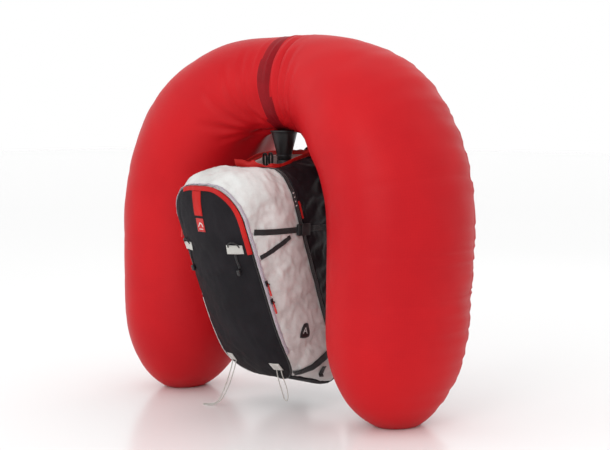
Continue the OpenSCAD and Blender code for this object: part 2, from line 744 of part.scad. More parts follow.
// The webbing from each strap's foot to the pack's lower corner, and from its shoulder to the pack's top
tail_path = spline([[91.5, 83, 184], [94, 74, 163], [96.5, 65.5, 142], [99, 57, 120], [100, 49, 100]], 10);
lifter_path = spline([[60, 137, 556], [57, 118, 600], [55, 86, 618], [54, 49, 622]], 10);
module strap_tails() {
    color("black") translate([0, y_shift, 0])
        for (m = [0, 1]) mirror([m, 0, 0]) {
            band(tail_path, face_normals(tail_path), webbing_w, webbing_t);
            band(lifter_path, face_normals(lifter_path), webbing_w, webbing_t);
        }
}
// Ladder locks at the straps' feet
module strap_adjusters() {
    color("darkslategray") translate([0, y_shift, 0])
        for (x = [-91, 91])
            translate([x, 94, 199]) rotate([-34, 0, 0]) difference() {
                translate([-webbing_w / 2 - 4, -3, -11]) cube([webbing_w + 8, 6, 22]);
                for (z = [-5, 3]) translate([-webbing_w / 2 - 1, -4, z]) cube([webbing_w + 2, 8, 3]);
            }
}

haul_path = spline([[-17.5, back_y + 4.5, 594], [-18.5, back_y + 8, 616], [-14, back_y + 18, 636],
    [0, back_y + 23, 643], [14, back_y + 18, 636], [18.5, back_y + 8, 616], [17.5, back_y + 4.5, 594]], 20);
module haul_loop() {
    color("black") translate([0, y_shift, 0])
        tube(haul_path, 7, 10, [0, 1, 0]);
}

// Chest strap: clips slide on a rail on each shoulder strap
rail_x = 66;
rail_y = 132 + strap_t + 6.4;
rail_r = 2.5;
chest_z = 430;
chest_travel = 22;
clip_h = 24;
clip_w = 14;
rail_l = 2 * chest_travel + clip_h + 10;
module chest_rails() {
    color("darkslategray") translate([0, y_shift, 0])
        for (x = [-rail_x, rail_x]) {
            translate([x, rail_y, chest_z - rail_l / 2]) cylinder(r = rail_r, h = rail_l);
            for (z = [chest_z - rail_l / 2 - 2, chest_z + rail_l / 2 - 2])
                translate([x - 4, rail_y - 5, z]) cube([8, 9, 4]);
        }
}
module chest_clips() {
    color("black") translate([0, y_shift, 0])
        for (x = [-rail_x, rail_x])
            translate([x, rail_y, chest_z]) difference() {
                translate([-clip_w / 2, -4.6, -clip_h / 2]) cube([clip_w, 10.6, clip_h]);
                cylinder(r = rail_r + pin_play, h = clip_h + 2, center = true);
            }
}
chest_y = rail_y + 1.5;
module chest_webbing() {
    color("black") translate([0, y_shift, 0])
        for (m = [0, 1]) mirror([m, 0, 0])
            translate([2, chest_y, chest_z - webbing_w / 2])
                cube([rail_x - clip_w / 2 - 2.3, webbing_t, webbing_w]);
}
module chest_socket() {
    color("darkslategray") translate([0, chest_y + webbing_t + 0.8 + y_shift, chest_z]) rotate([0, 0, 90])
        buckle_socket();
}
module chest_plug() {
    color("darkslategray") translate([0, chest_y + webbing_t + 0.8 + y_shift, chest_z]) rotate([0, 0, 90])
        buckle_plug();
}

// Hip wings: each stands straight back from the back panel and folds round the hips
wing_x = bay_back_w;
wing_z = 105;
wing_y = back_y + 14;
module hip_wing_right() {
    color("dimgray") translate([wing_x, wing_y + y_shift + wing_l / 2, wing_z]) rotate([90, 0, 90])
        translate([0, 0, -wing_t / 2]) rounded_block(wing_l, wing_h, wing_t, 18);
}
module hip_wing_left() { mirror([1, 0, 0]) hip_wing_right(); }
// Webbing and buckle halves at the wings' tips
tip_y = wing_y + wing_l;
module hip_webbing() {
    translate([wing_x + wing_t / 2 + 0.4, wing_y + 40 + y_shift, wing_z - webbing_w / 2])
        cube([webbing_t, wing_l - 40 + 6, webbing_w]);
}
module hip_webbing_right() { color("black") hip_webbing(); }
module hip_webbing_left() { color("black") mirror([1, 0, 0]) hip_webbing(); }
module hip_socket() {
    color("darkslategray")
        translate([wing_x + wing_t / 2 - buckle_t, tip_y + buckle_l + 0.8 + y_shift, wing_z])
            mirror([0, 1, 0]) buckle_socket();
}
module hip_plug() {
    color("darkslategray") translate([-wing_x - wing_t / 2 + buckle_t, tip_y + 15.8 + y_shift, wing_z])
        mirror([1, 0, 0]) buckle_plug();
}

// ---------- inflation system ----------
neck_y = -35;
neck_foot_z = 613;
neck_rim_r = 34;
neck_gap = 4.7;
// Height of the airbag's underside near the crown, at a distance from the middle plane and a depth
function crown_under(x, y) = lookup(x, [for (s = [0:0.01:0.3])
    let (
        c = centre_xz(s),
        t = unit(centre_xz(s + 0.01) - centre_xz(s - 0.01)),
        b = mix(crown_b, lobe_b, growth(s)),
        a = mix(crown_a, lobe_a, growth(s)) * sqrt(1 - pow((y + lobe_lean * (crown_z - c[1])) / b, 2))
    )
    [c[0] + t[1] * a, c[1] - t[0] * a]]);
// The rim clears the airbag's underside, and the band at its lowest
band_clear = 2;
neck_top_z = min(crown_under(neck_rim_r, neck_y) - neck_gap,
    crown_z - crown_a - band_lift - band_t - 0.5 - band_clear);
module inflation_neck() {
    wall = 1.5;
    color("black") translate([0, neck_y + y_shift, 0])
        rotate_extrude()
            polygon([[18 - wall, neck_foot_z], [18, neck_foot_z], [18, neck_foot_z + 12],
                [22, neck_foot_z + 28], [neck_rim_r - 2, neck_top_z - 4], [neck_rim_r, neck_top_z],
                [neck_rim_r - wall, neck_top_z], [neck_rim_r - 2 - wall, neck_top_z - 4],
                [22 - wall, neck_foot_z + 28], [18 - wall, neck_foot_z + 12]]);
}

ejector_z = 528;
seat_z = 592;
stem_r = 2.5;
module ejector_body() {
    r = 33;
    wall = 2;
    color("dimgray") translate([0, neck_y + y_shift, 0])
        difference() {
            union() {
                rotate_extrude()
                    polygon([[12, ejector_z], [r, ejector_z], [r, seat_z - 8], [19, seat_z + 6],
                        [19, neck_foot_z - 0.5], [16.5, neck_foot_z - 0.5], [16.5, seat_z],
                        [12, seat_z], [12, seat_z - 2.5],
                        [r - wall - 8, seat_z - 6], [r - wall, seat_z - 11], [r - wall, ejector_z + wall],
                        [12, ejector_z + wall]]);
                // Spider that guides the flap's stem
                for (w = [0, 120, 240]) rotate([0, 0, w])
                    translate([stem_r + 1, -1.5, seat_z - 12]) cube([r - stem_r - wall, 3, 5]);
                translate([0, 0, seat_z - 14]) cylinder(r = stem_r + 2, h = 8);
            }
            // Air inlets round the body, and the jet's port
            for (w = [30:60:330]) rotate([0, 0, w])
                translate([0, 0, ejector_z + 18]) rotate([0, 90, 0]) cylinder(r = 6, h = r + 5);
            translate([0, 0, ejector_z + 40]) rotate([0, 90, 0]) cylinder(r = hose_d / 2 + 0.4, h = r + 5);
            translate([0, 0, seat_z - 20]) cylinder(r = stem_r + pin_play, h = 20);
        }
}
module ejector_flap() {
    color("orange") translate([0, neck_y + y_shift, 0]) {
        translate([0, 0, seat_z + 0.3]) cylinder(r = 15.5, h = 2);
        translate([0, 0, seat_z - 18]) cylinder(r = stem_r, h = 19);
    }
}

gas_x = 62;
cradle_r = cartridge_d / 2 + slip + 2;
gas_y = stay_y - stay_t - 3.2 - cradle_r;
gas_z = 240;
neck_z = gas_z + 18 + cartridge_l + 14;
module cartridge() {
    r = cartridge_d / 2;
    c = cartridge_wall;
    top = gas_z + 18 + cartridge_l;
    color("steelblue") translate([gas_x, gas_y + y_shift, 0])
        rotate_extrude()
            polygon([[0, gas_z], [r * 0.45, gas_z + 1.5], [r * 0.85, gas_z + 8], [r, gas_z + 18], [r, top],
                [r * 0.8, top + 8], [11, top + 14], [11, top + 24], [6, top + 24], [6, top + 13],
                [r * 0.8 - c, top + 6], [r - c, top - 1], [r - c, gas_z + 19],
                [r * 0.85 - c, gas_z + 10], [r * 0.45, gas_z + 1.5 + c],
                [0, gas_z + c]]);
}
valve_z = neck_z + 10.5;
pin_travel = 7;
// The pierced disc that sealed the cartridge
module burst_disc() {
    color("silver") translate([gas_x, gas_y + y_shift, neck_z])
        difference() {
            cylinder(r = 5.9, h = 1);
            translate([0, 0, -1]) cylinder(d = pin_d + 2 * slip, h = 3);
        }
}
module valve_head() {
    color("goldenrod") translate([gas_x, gas_y + y_shift, valve_z])
        difference() {
            union() {
                cylinder(r = 17, h = 34);
                translate([0, 0, -8]) cylinder(r = 17, h = 8.1);
                translate([0, 0, 22]) rotate([-90, 0, -157]) cylinder(r = 6.5, h = 22);
            }
            translate([0, 0, -9]) cylinder(r = 11.4, h = 9);
            translate([0, 0, -1]) cylinder(d = pin_d + 2 * pin_play, h = 40);
            translate([0, 0, 22]) rotate([-90, 0, -157]) cylinder(r = 3, h = 30);
        }
}
module striker_pin() {
    color("gray") translate([gas_x, gas_y + y_shift, valve_z]) {
        translate([0, 0, 1]) cylinder(d = pin_d, h = 42);
        translate([0, 0, 34 + pin_travel + 0.5]) cylinder(r = 6, h = 4);
    }
}
module cartridge_cradle() {
    color("dimgray") translate([gas_x, gas_y + y_shift, 0])
        for (z = [gas_z + 24, gas_z + 18 + cartridge_l - 34])
            translate([0, 0, z]) difference() {
                cylinder(r = cradle_r, h = 28);
                translate([0, 0, -1]) cylinder(d = cartridge_d + 2 * slip, h = 30);
            }
}

hose_port = [gas_x + 23 * sin(157), gas_y + 23 * cos(157), valve_z + 22];
hose_path = spline([hose_port, [78, -36, valve_z + 30], [84, -50, valve_z + 70], [74, -50, 552],
    [52, -40, ejector_z + 40], [34.5, neck_y, ejector_z + 40]], 18);
module pressure_hose() {
    color("black") translate([0, y_shift, 0]) tube(hose_path, hose_d, 10, [0.1, 0.2, 1]);
}

cable_hole = [-15, 576];
handle_x = -88;
handle_y = rail_y + 1;
holder_z = 380;
grip_z = 322;
stem_l = 80;
wire_r = 1.2;
// The handle's wire stays in the guide when the handle is pulled out
guide_h = stem_l + grip_z - holder_z + trigger_pull - 17;
cable_path = spline([[gas_x, gas_y, valve_z + 34 + pin_travel + 6], [56, 5, 506], [36, 10, 538], [8, 20, 562],
    [-12, 32, 574], [cable_hole[0], 44, cable_hole[1]], [-15, 60, 580], [-12, 92, 602], [-13, 128, 600],
    [-26, 152, 572], [-56, 160, 530], [-80, 156, 480],
    [handle_x, handle_y, holder_z + guide_h + 18], [handle_x, handle_y, holder_z + guide_h + 1.5]], 34);
module trigger_cable() {
    color("black") translate([0, y_shift, 0]) tube(cable_path, sheath_d, 8, [0.3, 0.2, 1]);
}
module trigger_holder() {
    color("darkslategray") translate([handle_x, handle_y + y_shift, holder_z])
        difference() {
            union() {
                cylinder(r = 6.5, h = 25);
                cylinder(r = 4.6, h = guide_h);
                translate([-5, -6.6, 3]) cube([10, 6, 19]);
            }
            translate([0, 0, -1]) cylinder(r = 3.6 + pin_play, h = guide_h + 2);
        }
}
module trigger_handle() {
    color("red") translate([handle_x, handle_y + y_shift, grip_z]) {
        cylinder(r = 3.6, h = stem_l);
        cylinder(r = wire_r, h = holder_z - grip_z + guide_h - 1);
        translate([-33, 0, 0]) rotate([0, 90, 0]) cylinder(r = 8, h = 66);
        translate([0, 0, 8]) cylinder(r = 6, h = 10);
    }
}

airbag_left();
airbag_right();
airbag_centre_band();
inflation_neck();
front_panel();
side_panel_right();
side_panel_left();
top_panel();
base_panel();
divider_panel();
bay_sides();
back_panel();
bay_mouth_piping();
front_zip_welt();
main_zip_tape();
main_zip_coil();
crest_strap();
side_badge();
axe_keepers();
loop_tabs();
axe_loop_right();
axe_loop_left();
side_straps();
side_buckle_sockets();
side_buckle_plug_right();
side_buckle_plug_left();
lower_straps();
zip_slider_upper();
zip_slider_lower();
zip_puller_upper();
zip_puller_lower();
frame_sheet();
frame_stays();
back_pads();
shoulder_straps();
strap_tails();
strap_adjusters();
haul_loop();
chest_rails();
chest_clips();
chest_webbing();
chest_socket();
chest_plug();
hip_wing_right();
hip_wing_left();
hip_webbing_right();
hip_webbing_left();
hip_socket();
hip_plug();
ejector_body();
ejector_flap();
pressure_hose();
valve_head();
striker_pin();
cartridge();
burst_disc();
cartridge_cradle();
trigger_cable();
trigger_holder();
trigger_handle();
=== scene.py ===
"""An avalanche airbag backpack with its airbag inflated: cloth, straps, zips and finishes."""

import json
import math

import bmesh
import bpy
import numpy as np
from mathutils import Matrix, Vector
from mathutils.bvhtree import BVHTree

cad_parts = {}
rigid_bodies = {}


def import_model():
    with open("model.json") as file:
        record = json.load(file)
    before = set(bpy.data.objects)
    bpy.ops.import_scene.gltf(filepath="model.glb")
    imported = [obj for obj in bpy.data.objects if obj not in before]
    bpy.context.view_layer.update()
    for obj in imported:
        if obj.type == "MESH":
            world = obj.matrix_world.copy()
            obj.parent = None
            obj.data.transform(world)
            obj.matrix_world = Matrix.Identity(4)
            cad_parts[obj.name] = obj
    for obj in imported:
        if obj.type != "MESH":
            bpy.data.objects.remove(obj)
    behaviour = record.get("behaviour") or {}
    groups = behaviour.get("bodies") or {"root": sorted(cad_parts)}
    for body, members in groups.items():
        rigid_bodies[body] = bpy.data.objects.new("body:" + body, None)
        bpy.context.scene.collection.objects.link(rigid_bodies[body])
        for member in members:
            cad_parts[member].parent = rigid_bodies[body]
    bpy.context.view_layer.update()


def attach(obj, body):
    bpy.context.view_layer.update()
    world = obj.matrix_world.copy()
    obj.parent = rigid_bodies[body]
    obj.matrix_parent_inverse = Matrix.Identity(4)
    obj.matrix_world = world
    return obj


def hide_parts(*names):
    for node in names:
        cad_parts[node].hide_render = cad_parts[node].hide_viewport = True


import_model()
scene = bpy.context.scene
MM = 0.001
TAU = 2 * math.pi

# The arch's plane stands this far behind the origin
ARCH_Y = 57.456 * MM


def arch(x, y, z):
    """A point given in millimetres about the arch's plane, in the frame's metres."""
    return Vector((x * MM, y * MM + ARCH_Y, z * MM))


# ---------- camera ----------
CAMERA_PLACE, CAMERA_AIM = (2355, -2571, 729), (0, 0, 460)
SENSOR_WIDTH, FOCAL_LENGTH, FAR_CLIP = 36, 82.0, 60
SHIFT_X, SHIFT_Y = 0.0184, -0.0077

camera_data = bpy.data.cameras.new("camera")
camera = bpy.data.objects.new("camera", camera_data)
scene.collection.objects.link(camera)
camera.location = arch(*CAMERA_PLACE)
camera.rotation_euler = (arch(*CAMERA_AIM) - camera.location).to_track_quat("-Z", "Y").to_euler()
camera_data.sensor_width = SENSOR_WIDTH
camera_data.lens = FOCAL_LENGTH
camera_data.shift_x = SHIFT_X
camera_data.shift_y = SHIFT_Y
camera_data.clip_end = FAR_CLIP
scene.camera = camera


# ---------- shader arithmetic ----------
class Value:
    """A shader node's output, on which Python's arithmetic adds Math nodes."""

    def __init__(self, shader, socket):
        self.shader = shader
        self.socket = socket

    def math(self, operation, *terms):
        return self.shader.add("ShaderNodeMath", {"operation": operation}, list(terms))

    def __add__(self, other):
        return self.math("ADD", self, other)

    __radd__ = __add__

    def __sub__(self, other):
        return self.math("SUBTRACT", self, other)

    def __rsub__(self, other):
        return self.math("SUBTRACT", other, self)

    def __mul__(self, other):
        return self.math("MULTIPLY", self, other)

    __rmul__ = __mul__

    def __truediv__(self, other):
        return self.math("DIVIDE", self, other)

    def __pow__(self, other):
        return self.math("POWER", self, other)

    def sin(self):
        return self.math("SINE", self)

    def abs(self):
        return self.math("ABSOLUTE", self)

    def fract(self):
        return self.math("FRACT", self)

    def floor(self):
        return self.math("FLOOR", self)

    def above(self, limit):
        return self.math("GREATER_THAN", self, limit)



    def most(self, other):
        return self.math("MAXIMUM", self, other)

    def rise(self, low, high, to_low=0.0, to_high=1.0):
        """A smooth step from to_low to to_high as the value goes from low to high."""
        return self.shader.add(
            "ShaderNodeMapRange", {
                "interpolation_type": "SMOOTHSTEP"
            }, {0: self, 1: low, 2: high, 3: to_low, 4: to_high}
        )


class Shader:
    """A material with one Principled shader, and the nodes that feed it."""

    def __init__(self, name, **constants):
        self.material = bpy.data.materials.new(name)
        self.material.use_nodes = True
        self.nodes = self.material.node_tree.nodes
        self.links = self.material.node_tree.links
        self.surface = self.nodes["Principled BSDF"]
        for key, value in constants.items():
            self.surface.inputs[key.replace("_", " ")].default_value = value

    def add(self, kind, settings=None, inputs=None, out=0):
        node = self.nodes.new(kind)
        for key, value in (settings or {}).items():
            if key == "stops":
                ramp = node.color_ramp
                while len(ramp.elements) < len(value):
                    ramp.elements.new(0.5)
                for element, (place, colour) in zip(ramp.elements, value):
                    element.position = place
                    element.color = (*colour, 1) if len(colour) == 3 else colour
            else:
                setattr(node, key, value)
        pairs = enumerate(inputs) if isinstance(inputs, (list, tuple)) else (inputs or {}).items()
        for key, value in pairs:
            if isinstance(value, Value):
                self.links.new(value.socket, node.inputs[key])
            elif isinstance(value, tuple) and len(value) == 3 and len(node.inputs[key].default_value) == 4:
                node.inputs[key].default_value = (*value, 1)
            else:
                node.inputs[key].default_value = value
        return Value(self, node.outputs[out])

    def feed(self, socket, value):
        self.links.new(value.socket, self.surface.inputs[socket])

    def place(self):
        """Object coordinates, in the frame's metres."""
        return self.add("ShaderNodeTexCoord", out=3)

    def cloth_place(self):
        """Coordinates along the cloth's threads, in metres."""
        return self.add("ShaderNodeUVMap", {"uv_map": "cloth"})

    def split(self, vector):
        return [self.add("ShaderNodeSeparateXYZ", None, [vector], out=k) for k in range(3)]

    def stretch(self, vector, scale):
        return self.add("ShaderNodeVectorMath", {"operation": "MULTIPLY"}, [vector, scale])

    def noise(self, vector, scale, detail=3.0, rough=0.55, distortion=0.0):
        return self.add(
            "ShaderNodeTexNoise",
            None,
            {
                "Vector": vector, "Scale": scale, "Detail": detail, "Roughness": rough,
                "Distortion": distortion
            },
        )

    def blend(self, share, first, second):
        """A colour between two colours."""
        return self.add(
            "ShaderNodeMix", {
                "data_type": "RGBA", "clamp_factor": True
            }, {0: share, 6: first, 7: second}, out=2
        )

    def bump(self, height, strength, distance, under=None):
        inputs = {"Strength": strength, "Distance": distance, "Height": height}
        if under is not None:
            inputs["Normal"] = under
        return self.add("ShaderNodeBump", None, inputs)


def thread_height(shader, place, pitch):
    """Plain weave: threads of one pitch that pass over and under each other."""
    u, v, _ = shader.split(place)
    along = (u * (TAU / pitch)).sin()
    across = (v * (TAU / pitch)).sin()
    over = ((u * (math.pi / pitch)).sin() * (v * (math.pi / pitch)).sin()).above(0.0)
    return along.abs() * over + across.abs() * (1.0 - over)


def cloth_finish(
    name, dark, light, pitch, ripstop=0.0, rough=0.6, sheen=0.2, weave_bump=0.25, soft_bump=0.4, mottle=9.0,
    specular=0.5,
):
    """Woven cloth: threads, an optional ripstop grid, soft creasing and slow changes of colour."""
    s = Shader(name, Sheen_Weight=sheen, Sheen_Roughness=0.45, Specular_IOR_Level=specular)
    place = s.place()
    threads = s.cloth_place()
    slow = s.noise(place, mottle, 4.0, 0.6)
    fine = s.noise(place, 260.0, 2.0, 0.5)
    weave = thread_height(s, threads, pitch)
    share = slow.rise(0.3, 0.7) * 0.7 + fine * 0.3
    height = weave
    if ripstop:
        u, v, _ = s.split(threads)
        grid = ((u / ripstop).fract() - 0.5).abs().rise(0.43, 0.49).most(
            ((v / ripstop).fract() - 0.5).abs().rise(0.43, 0.49)
        )
        share = share - grid * 0.25
        height = height + grid * 1.4
    s.feed("Base Color", s.blend(share, dark, light))
    s.feed("Roughness", slow.rise(0.2, 0.8, rough - 0.06, rough + 0.08))
    creases = s.noise(s.stretch(place, (1.0, 1.0, 0.6)), 34.0, 3.0, 0.55, 0.6)
    soft = s.bump(creases, soft_bump, 0.0015)
    s.feed("Normal", s.bump(height, weave_bump, 0.00025, soft))
    return s.material


def webbing_finish(name, dark, light, ribs=0.0022):
    """Woven webbing: slanting ribs along its length, with plain edges."""
    s = Shader(name, Sheen_Weight=0.25, Sheen_Roughness=0.4, Specular_IOR_Level=0.4)
    place = s.place()
    u, v, _ = s.split(s.cloth_place())
    twill = ((u + (v - 0.5 * ribs).abs() * 0.8) * (TAU / ribs)).sin()
    cords = (v * (TAU / (ribs * 0.8))).sin()
    slow = s.noise(place, 40.0, 3.0)
    share = twill * 0.2 + cords * 0.15 + slow * 0.6
    s.feed("Base Color", s.blend(share, dark, light))
    s.feed("Roughness", slow.rise(0.2, 0.8, 0.62, 0.78))
    s.feed("Normal", s.bump(twill + cords * 0.6, 0.5, 0.0003))
    return s.material


def moulded_finish(name, dark, light, rough=0.42, grain=900.0, coat=0.0):
    """Moulded plastic: a fine spark grain, and edges rubbed a little lighter."""
    s = Shader(name, Specular_IOR_Level=0.5, Coat_Roughness=0.2, Coat_Weight=coat)
    place = s.place()
    slow = s.noise(place, 30.0, 3.0)
    fine = s.noise(place, grain, 2.0)
    edge = s.add("ShaderNodeNewGeometry", out=7).rise(0.5, 0.62)
    s.feed("Base Color", s.blend(slow * 0.5 + edge * 0.4, dark, light))
    s.feed("Roughness", slow.rise(0.2, 0.8, rough - 0.07, rough + 0.09))
    s.feed("Normal", s.bump(fine, 0.25, 0.0002))
    return s.material


def metal_finish(name, dark, light, rough=0.32, metallic=1.0, streak=(1.0, 1.0, 8.0)):
    """Metal: fine drawn streaks and a few dull patches."""
    s = Shader(name, Metallic=metallic)
    place = s.place()
    slow = s.noise(place, 24.0, 3.0)
    streaks = s.noise(s.stretch(place, streak), 260.0, 2.0)
    s.feed("Base Color", s.blend(slow * 0.6 + streaks * 0.4, dark, light))
    s.feed("Roughness", (slow + streaks).rise(0.6, 1.4, rough - 0.08, rough + 0.12))
    s.feed("Normal", s.bump(streaks, 0.12, 0.0002))
    return s.material


def foam_finish(name, dark, light, cell=0.0032):
    """Spacer mesh: small open cells in even rows."""
    s = Shader(name, Sheen_Weight=0.3, Sheen_Roughness=0.5, Specular_IOR_Level=0.25)
    place = s.place()
    cells = s.add(
        "ShaderNodeTexVoronoi", {"feature": "F1"}, {
            "Vector": s.cloth_place(), "Scale": 1 / cell, "Randomness": 0.25
        }
    )
    # Painted shade: the colour darkens towards the middle of each open cell, as shade in the hole; the same
    # value sinks the cells in the bump.
    hole_depth_and_shade = cells.rise(0.25, 0.5)
    slow = s.noise(place, 14.0, 3.0)
    s.feed("Base Color", s.blend(hole_depth_and_shade * 0.7 + slow * 0.3, dark, light))
    s.feed("Roughness", slow.rise(0.2, 0.8, 0.78, 0.92))
    s.feed("Normal", s.bump(hole_depth_and_shade, 0.7, 0.0006))
    return s.material


BLACK = (0.0075, 0.0068, 0.0080)
CHARCOAL = (0.021, 0.018, 0.022)
GREY_DARK = (0.50, 0.50, 0.485)
GREY_LIGHT = (0.74, 0.74, 0.725)
RED_DEEP = (0.46, 0.004, 0.009)
RED_LIVE = (0.58, 0.008, 0.012)

finish = {
    "airbag": cloth_finish(
        "airbag_cloth", RED_DEEP, RED_LIVE, 0.0011, 0.0055, 0.46, 0.0, 0.12, 0.12, 3.0, 0.16
    ),
    "airbag_dark": cloth_finish(
        "airbag_band_cloth", (0.20, 0.004, 0.008), (0.32, 0.006, 0.012), 0.0011, 0.0, 0.5, 0.0, 0.2, 0.3,
        9.0, 0.14,
    ),
    "front": cloth_finish(
        "front_cloth", (0.0085, 0.0075, 0.0095), (0.019, 0.0165, 0.020), 0.0014, 0.006, 0.60, 0.0, 0.3, 0.5,
        9.0, 0.12
    ),
    "grey": cloth_finish("side_cloth", GREY_DARK, GREY_LIGHT, 0.0012, 0.0, 0.62, 0.0, 0.2, 0.5, 11.0),
    "black": cloth_finish("bay_cloth", BLACK, CHARCOAL, 0.0012, 0.0, 0.42, 0.0, 0.2, 0.6, 12.0, 0.18),
    "red_trim": cloth_finish(
        "trim_cloth", (0.42, 0.008, 0.008), (0.58, 0.018, 0.014), 0.0011, 0.0, 0.5, 0.0, 0.25, 0.4, 9.0, 0.2
    ),
    "tape": cloth_finish(
        "zip_tape_cloth", (0.46, 0.42, 0.47), (0.62, 0.58, 0.64), 0.0009, 0.0, 0.6, 0.1, 0.3, 0.1
    ),
    "tab": cloth_finish("tab_cloth", (0.46, 0.45, 0.42), (0.62, 0.61, 0.57), 0.001, 0.0, 0.6, 0.15, 0.3, 0.2),
    "binding": webbing_finish("binding_tape", (0.010, 0.0095, 0.0105), (0.028, 0.026, 0.028), 0.0012),
    "webbing": webbing_finish("strap_webbing", (0.0075, 0.007, 0.0078), (0.024, 0.022, 0.024)),
    "mesh": foam_finish("spacer_mesh", (0.006, 0.006, 0.0065), (0.035, 0.034, 0.036)),
    "plastic": moulded_finish("black_moulding", (0.008, 0.008, 0.009), (0.030, 0.029, 0.031)),
    "red_plastic": moulded_finish(
        "red_moulding", (0.50, 0.014, 0.012), (0.66, 0.035, 0.025), 0.33, 700.0, 0.2
    ),
    "white_plastic": moulded_finish("white_moulding", (0.55, 0.55, 0.53), (0.72, 0.72, 0.70), 0.4),
    "coil": moulded_finish("coil_nylon", (0.42, 0.38, 0.44), (0.58, 0.54, 0.60), 0.35),
    "rubber": moulded_finish("hose_rubber", (0.010, 0.010, 0.010), (0.028, 0.028, 0.028), 0.6, 500.0),
    "flap": moulded_finish("flap_rubber", (0.30, 0.10, 0.02), (0.42, 0.16, 0.04), 0.55, 500.0),
    "slider_metal": metal_finish("slider_metal", (0.03, 0.03, 0.032), (0.09, 0.09, 0.095), 0.35),
    "aluminium": metal_finish("aluminium", (0.62, 0.62, 0.63), (0.80, 0.80, 0.81), 0.3),
    "brass": metal_finish("brass", (0.52, 0.36, 0.14), (0.74, 0.55, 0.25), 0.25),
    "steel": metal_finish("steel", (0.42, 0.42, 0.43), (0.62, 0.62, 0.63), 0.25),
    "gas": moulded_finish("gas_paint", (0.02, 0.06, 0.20), (0.04, 0.11, 0.30), 0.25, 300.0, 0.4),
    "label": cloth_finish("label_cloth", (0.40, 0.008, 0.010), (0.52, 0.018, 0.016), 0.001, 0.0, 0.5, 0.1),
    "neck": cloth_finish(
        "neck_cloth", (0.006, 0.006, 0.0065), (0.020, 0.019, 0.020), 0.0012, 0.0, 0.34, 0.0, 0.15, 0.3, 12.0,
        0.4
    ),
    "pale_lining": cloth_finish(
        "pale_lining_cloth", (0.42, 0.30, 0.28), (0.60, 0.50, 0.48), 0.001, 0.0, 0.6, 0.0, 0.2, 0.8, 12.0, 0.3
    ),
    "red_thread": moulded_finish("red_thread", (0.40, 0.008, 0.008), (0.55, 0.02, 0.016), 0.6, 900.0),
    "white_thread": moulded_finish("white_thread", (0.62, 0.61, 0.60), (0.76, 0.75, 0.74), 0.6, 900.0),
    "black_thread": moulded_finish("black_thread", (0.012, 0.012, 0.012), (0.03, 0.03, 0.03), 0.6, 900.0),
    "badge_mark": moulded_finish("badge_mark", (0.50, 0.49, 0.48), (0.62, 0.61, 0.60), 0.5, 700.0),
    "cord": webbing_finish("loop_cord", (0.50, 0.485, 0.45), (0.70, 0.69, 0.65), 0.0009),
}


# ---------- meshes ----------
def hand_over(obj, body, cad_slot, *nodes):
    """A piece that rides on a body and stands for CAD nodes."""
    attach(obj, body)
    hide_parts(*nodes)


def object_from(name, verts, faces, material, uvs=None, smooth=True):
    """A mesh object. uvs holds one pair per vertex, in metres along the cloth."""
    mesh = bpy.data.meshes.new(name)
    mesh.from_pydata([tuple(map(float, v)) for v in verts], [], [tuple(map(int, f)) for f in faces])
    if uvs is not None:
        layer = mesh.uv_layers.new(name="cloth")
        loops = np.zeros(len(mesh.loops), np.int32)
        mesh.loops.foreach_get("vertex_index", loops)
        layer.data.foreach_set("uv", np.asarray(uvs, np.float32)[loops].ravel())
    mesh.polygons.foreach_set("use_smooth", [smooth] * len(mesh.polygons))
    mesh.materials.append(finish[material] if isinstance(material, str) else material)
    obj = bpy.data.objects.new(name, mesh)
    scene.collection.objects.link(obj)
    return obj


def grid_faces(rows, cols, loop_rows=False, loop_cols=False):
    faces = []
    for i in range(rows if loop_rows else rows - 1):
        for j in range(cols if loop_cols else cols - 1):
            a, b = i * cols + j, i * cols + (j + 1) % cols
            c, d = ((i + 1) % rows) * cols + (j + 1) % cols, ((i + 1) % rows) * cols + j
            faces.append((a, b, c, d))
    return faces


def grid_normals(points, loop_cols=False):
    """Unit normals of a grid of points, rows by columns."""
    along = np.gradient(points, axis=0)
    if loop_cols:
        across = (np.roll(points, -1, 1) - np.roll(points, 1, 1)) / 2
    else:
        across = np.gradient(points, axis=1)
    normal = np.cross(across, along)
    return normal / np.maximum(np.linalg.norm(normal, axis=2, keepdims=True), 1e-12)


def cloth_uvs(points):
    """Lengths along a grid's rows and columns, in metres."""
    step = np.linalg.norm(np.diff(points, axis=0), axis=2).mean(1)
    u = np.concatenate([[0], np.cumsum(step)])
    side = np.linalg.norm(np.diff(points, axis=1), axis=2).mean(0)
    v = np.concatenate([[0], np.cumsum(side)])
    return np.stack(np.meshgrid(u, v, indexing="ij"), -1).reshape(-1, 2)


def hashed(i):
    """A repeatable number from 0 to 1 for each whole number."""
    return (math.sin(i * 12.9898 + 4.1414) * 43758.5453) % 1.0


def lumps(points, size, seed=0):
    """Smooth repeatable noise, about -1 to 1, for an array of points in metres."""
    p = np.asarray(points) / size
    total = np.zeros(p.shape[:-1])
    for k in range(7):
        a = np.array([hashed(seed * 31 + k * 7 + c) * 2 - 1 for c in range(3)])
        a = a / np.linalg.norm(a) * (0.6 + 0.9 * hashed(seed * 17 + k))
        total += np.sin(p @ a * TAU + TAU * hashed(seed * 13 + k * 5))
    return total / 3.0


def sheet_object(name, points, material, thickness=0.0, loop_cols=False):
    """A cloth sheet over a grid of points, thickened inwards."""
    rows, cols = points.shape[:2]
    obj = object_from(
        name, points.reshape(-1, 3), grid_faces(rows, cols, loop_cols=loop_cols), material, cloth_uvs(points)
    )
    if thickness:
        thicken(obj, thickness)
    return obj


def apply_modifiers(obj):
    deps = bpy.context.evaluated_depsgraph_get()
    mesh = bpy.data.meshes.new_from_object(obj.evaluated_get(deps))
    old = obj.data
    obj.modifiers.clear()
    obj.data = mesh
    bpy.data.meshes.remove(old)


def thicken(obj, thickness, offset=-1.0):
    made = obj.modifiers.new("thickness", "SOLIDIFY")
    made.thickness = thickness
    made.offset = offset
    made.use_even_offset = False
    apply_modifiers(obj)
    obj.data.polygons.foreach_set("use_smooth", [True] * len(obj.data.polygons))


